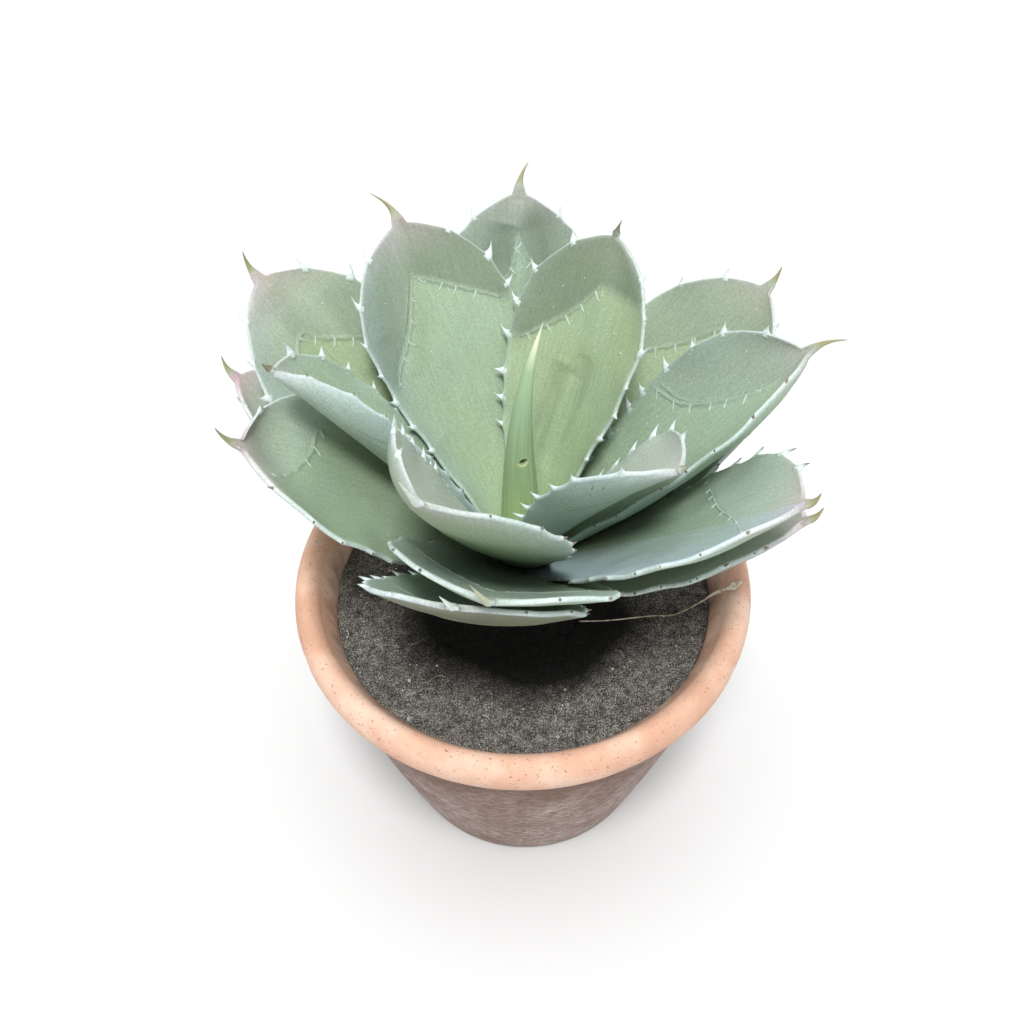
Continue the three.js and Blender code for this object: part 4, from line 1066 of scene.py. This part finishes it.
for number, leaf in enumerate(LEAVES, 1):
    leaf["number"] = number
    leaf["marks"] = {**USUAL_MARKS, **MARKS.get(number, {})}
    leaf["teeth"] = {}
    for margin_side in (-1, 1):
        places = np.array(tooth_places(leaf["length"]))
        sizes = np.clip(chance.normal(1.15, 0.18, len(places)), 0.7, 1.5)
        if margin_side in leaf["marks"]["stubs"]:
            sizes = 0.5 * sizes
        if margin_side in leaf["marks"]["ragged"]:
            between = chance.uniform(0.3, 0.7, len(places) - 1)
            places = np.append(places, places[:-1] + np.diff(places) * between)
            sizes = np.append(sizes, chance.uniform(0.3, 0.6, len(places) - len(sizes)))
        places = places + chance.normal(0, 1.2, len(places)) / leaf["length"]
        places = np.clip(places, 0, 1 - LAST_TOOTH / leaf["length"])
        bends = np.clip(chance.normal(1, 0.35, len(places)), 0.2, 1.7)
        leaf["teeth"][margin_side] = list(zip(places, sizes, bends))
    points, faces, layers = leaf_mesh(leaf)
    blade = make_mesh(f"leaf_blade_{number:02d}", points, faces, skin, layers)
    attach(blade, "root")
    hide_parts(f"leaf_{number:02d}")

# Bud: the youngest leaves, still furled round each other into a spear that leans over at its tip. The
# free edge of the outermost one shows as a step down its side, and there is a small round hole in it.
BUD_FOOT = 186.4
BUD_LENGTH = 120
BUD_RADIUS = 9.2
BUD_TAPER = 1.6
BUD_RINGS = 200
BUD_SIDES = 64
BUD_LEAN = (10.5, 12.5)
BUD_LEAN_FROM = 0.3
BUD_LEAN_POWER = 3.2
BUD_EDGE_TURN = -0.6
BUD_EDGE_STEP = 0.06
BUD_EDGE_WIDTH = 0.12
BUD_YELLOW_TO = 0.62
BUD_HORN_FROM = 0.84
BUD_HOLE = dict(height=244.5, turn=-79, wide=1.6, tall=1.5, tilt=0.25, depth=1.6)
bud_s = np.linspace(0, 0.992, BUD_RINGS)[:, None]
leaning = (np.maximum(bud_s - BUD_LEAN_FROM, 0) / (1 - BUD_LEAN_FROM)) ** BUD_LEAN_POWER
bud_out = BUD_RADIUS * (1 - bud_s ** BUD_TAPER)
turn_share = np.linspace(0, 1, BUD_SIDES)
bud_angle = BUD_EDGE_TURN + 2 * np.pi * turn_share[None, :] * (1 - 0.5 / BUD_SIDES)
bud_reach = bud_out * (1 - BUD_EDGE_STEP + 2 * BUD_EDGE_STEP * turn_share)
bud_z = BUD_FOOT + BUD_LENGTH * bud_s * np.ones(BUD_SIDES)
around_hole = (np.degrees(bud_angle) - BUD_HOLE["turn"] + 180) % 360 - 180
beside_hole = np.radians(around_hole) * bud_out
above_hole = bud_z - BUD_HOLE["height"] - BUD_HOLE["tilt"] * beside_hole
from_hole = np.hypot(beside_hole / BUD_HOLE["wide"], above_hole / BUD_HOLE["tall"])
lip = np.exp(-((from_hole - 1.35) / 0.22) ** 2)
bud_reach = bud_reach - BUD_HOLE["depth"] * np.exp(-from_hole ** 4) + 0.25 * lip
bud_points = np.stack([BUD_LEAN[0] * leaning + bud_reach * np.cos(bud_angle),
                       BUD_LEAN[1] * leaning + bud_reach * np.sin(bud_angle), bud_z], -1).reshape(-1, 3)
bud_points, bud_faces = capped(bud_points, BUD_SIDES, (0, 0, BUD_FOOT), (*BUD_LEAN, BUD_FOOT + BUD_LENGTH))
flat_s = np.append((bud_s * np.ones(BUD_SIDES)).ravel(), [0, 1])
bud_marks = dict(low=np.clip(1 - flat_s / BUD_YELLOW_TO, 0, 1),
                 tip=np.clip((flat_s - BUD_HORN_FROM) / 0.1, 0, 1))
for name, values in (("edge", np.exp(-(turn_share * 2 * np.pi / BUD_EDGE_WIDTH) ** 2)),
                     ("hole", np.exp(-from_hole ** 3)), ("lip", np.exp(-((from_hole - 1.3) / 0.25) ** 2)),
                     ("round", np.degrees(bud_angle))):
    bud_marks[name] = np.append(np.broadcast_to(values, (BUD_RINGS, BUD_SIDES)), [0, 0])

# Young agave skin: thin wax on tender tissue, so it is yellow-green and a little silkier than the leaves,
# with fine upright streaks. Its tip is already horn.
young_skin = new_material("young_agave_skin")
bud_mark = {name: add_node(young_skin, "Attribute", attribute_name=name).outputs["Fac"] for name in bud_marks}
bud_place = add_node(young_skin, "TexCoord").outputs["Object"]
bud_height = add_node(young_skin, "SeparateXYZ", {"Vector": bud_place}).outputs["Z"]
upright = add_node(young_skin, "CombineXYZ", {"X": bud_mark["round"], "Y": bud_height})
# A streak is 8 degrees wide, which is 1.3 mm at the foot, and 45 mm long.
bud_streak_place = add_node(young_skin, "Mapping", {"Vector": upright, "Scale": (0.12, 22, 1)})
bud_streaks = add_node(young_skin, "TexNoise", {"Vector": bud_streak_place, "Scale": 1, "Detail": 4})
bud_ground = add_node(young_skin, "MixRGB", {
    "Fac": bud_mark["low"], "Color1": linear("#9bb691"), "Color2": linear("#a9c07c")})
bud_streak_tone = add_node(young_skin, "ValToRGB", {"Fac": bud_streaks}, ramp=[(0.35, 0.82), (0.65, 1.0)])
bud_ground = add_node(young_skin, "MixRGB", {"Fac": 1.0, "Color1": bud_ground, "Color2": bud_streak_tone},
                      blend_type="MULTIPLY")
# The hole's dark inside is painted shade, mixed in by the hole mark in a dark olive.
for name, share_of, colour in (("edge", 0.6, "#b9cdb0"), ("lip", 0.85, "#cddb9c"), ("tip", 0.85, "#d3d6bb"),
                               ("hole", 0.95, "#2c3320")):
    part_share = add_node(young_skin, "Math", {0: bud_mark[name], 1: share_of}, operation="MULTIPLY")
    bud_ground = add_node(young_skin, "MixRGB", {
        "Fac": part_share, "Color1": bud_ground, "Color2": linear(colour)})
bud_bump = add_node(young_skin, "Bump", {"Height": bud_streaks, "Distance": 0.3 * MM, "Strength": 0.5})
finish_surface(young_skin, bud_ground, 0.48, bud_bump, IOR=1.45, Specular_IOR_Level=0.45)
bud = make_mesh("bud_spear", bud_points, bud_faces, young_skin, bud_marks)
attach(bud, "root")
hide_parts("bud")

# Dry fibre: a thread torn from an old leaf's margin. It lies from the soil up over the rim, where the
# papery skin still on it has spread into a small curled scrap.
FIBRE_ROUTE = [(27, -20.2, 146.9), (42, -19.2, 145.9), (61.3, -16.5, 145), (73.5, -15.8, 144.9),
               (85.4, -14.5, 153), (90.5, -13.4, 157.2), (95.5, -13.6, 161.1), (99.3, -13.5, 163.5),
               (104.2, -11.3, 164.4)]
FIBRE_WIDTHS = (0.6, 0.7, 0.8, 0.8, 0.9, 1.4, 2.4, 1.2, 5.2, 0.8)
FIBRE_THICKNESS = 0.8
FIBRE_STEPS = 110
# Round its cross-section: how far each point lies to the side, and how high up the thickness.
FIBRE_SECTION = ((-1, 0.35), (-0.5, 0.1), (0, 0), (0.5, 0.1), (1, 0.35), (0.5, 0.75), (0, 1), (-0.5, 0.75))
route = smooth_line(FIBRE_ROUTE, FIBRE_STEPS)
fibre_wide = np.interp(np.linspace(0, 1, FIBRE_STEPS), np.linspace(0, 1, len(FIBRE_WIDTHS)), FIBRE_WIDTHS) / 2
fibre_wide = fibre_wide * (0.8 + 0.25 * noise(route, 4, 31))
ahead = np.gradient(route, axis=0)
sideways = np.stack([-ahead[:, 1], ahead[:, 0], np.zeros(FIBRE_STEPS)], 1)
sideways /= np.linalg.norm(sideways, axis=1)[:, None]
fibre_rings = []
for across_by, lift_by in FIBRE_SECTION:
    curl_up = 0.25 * abs(across_by) * np.maximum(fibre_wide - 1, 0)
    rise_by = (FIBRE_THICKNESS * 0.9 * lift_by + curl_up)[:, None] * [0, 0, 1]
    fibre_rings.append(route + sideways * (across_by * fibre_wide)[:, None] + rise_by)
fibre_points = np.stack(fibre_rings, 1).reshape(-1, 3)

# Dry leaf skin, like old raffia: pale tan, brown along the thread, matt, with flecks of 2.4 mm.
raffia = one_grain_finish("dry_leaf_skin", 420, 4, [(0.32, "#8b8173"), (0.5, "#c4baa6"), (0.66, "#e2dac9")],
                          (0.3, 0.6), 0.85, IOR=1.45, Specular_IOR_Level=0.3)
fibre = make_mesh("fibre_with_scrap", fibre_points, bar_faces(FIBRE_STEPS, len(fibre_rings)), raffia)
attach(fibre, "root")
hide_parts("dry_fibre")

# Studio: a matt white floor, a soft light high up in front of the pot, a broader one straight above it,
# and white walls all round under a dark ceiling. A lamp is given by its tilt, width and strength.
FLOOR_HALF = 6000
LAMPS = [(20.5, 13, 3.0), (0, 40, 1.5)]
studio_paint = new_material("matt_white_floor_paint")
floor_place = add_node(studio_paint, "TexCoord").outputs["Object"]
# The roller that spread the paint left a grain of 3 mm.
roller = add_node(studio_paint, "TexNoise", {"Vector": floor_place, "Scale": 300, "Detail": 2})
floor_bump = add_node(studio_paint, "Bump", {"Height": roller, "Distance": 0.02 * MM, "Strength": 0.1})
finish_surface(studio_paint, linear("#c1c1c1"), 0.9, floor_bump, IOR=1.45, Specular_IOR_Level=0.0)
floor_corners = [(x * FLOOR_HALF, y * FLOOR_HALF, 0) for x, y in ((-1, -1), (1, -1), (1, 1), (-1, 1))]
floor = make_mesh("studio_floor", floor_corners, [(0, 1, 2, 3)], studio_paint)

for tilt, wide, strength in LAMPS:
    lamp_data = bpy.data.lights.new("soft_light", "SUN")
    lamp_data.energy = strength
    lamp_data.angle = math.radians(wide)
    lamp = bpy.data.objects.new("soft_light", lamp_data)
    lamp.rotation_euler = (math.radians(tilt), 0, 0)
    bpy.context.scene.collection.objects.link(lamp)
room = bpy.data.worlds.new("white_walls")
room.use_nodes = True
room.node_tree.nodes.clear()
ray_place = add_node(room, "TexCoord").outputs["Generated"]
ray_height = add_node(room, "SeparateXYZ", {"Vector": ray_place}).outputs["Z"]
# The walls reach up to about 35 degrees above the floor, and then comes the ceiling.
room_light = add_node(room, "MapRange", {
    "Value": ray_height, "From Min": 0.35, "From Max": 0.75, "To Min": 1.55, "To Max": 0.25})
wall_light = add_node(room, "Background", {"Color": linear("#ffffff"), "Strength": room_light})
add_node(room, "OutputWorld", {"Surface": wall_light})
bpy.context.scene.world = room
bpy.context.scene.view_settings.view_transform = "Standard"
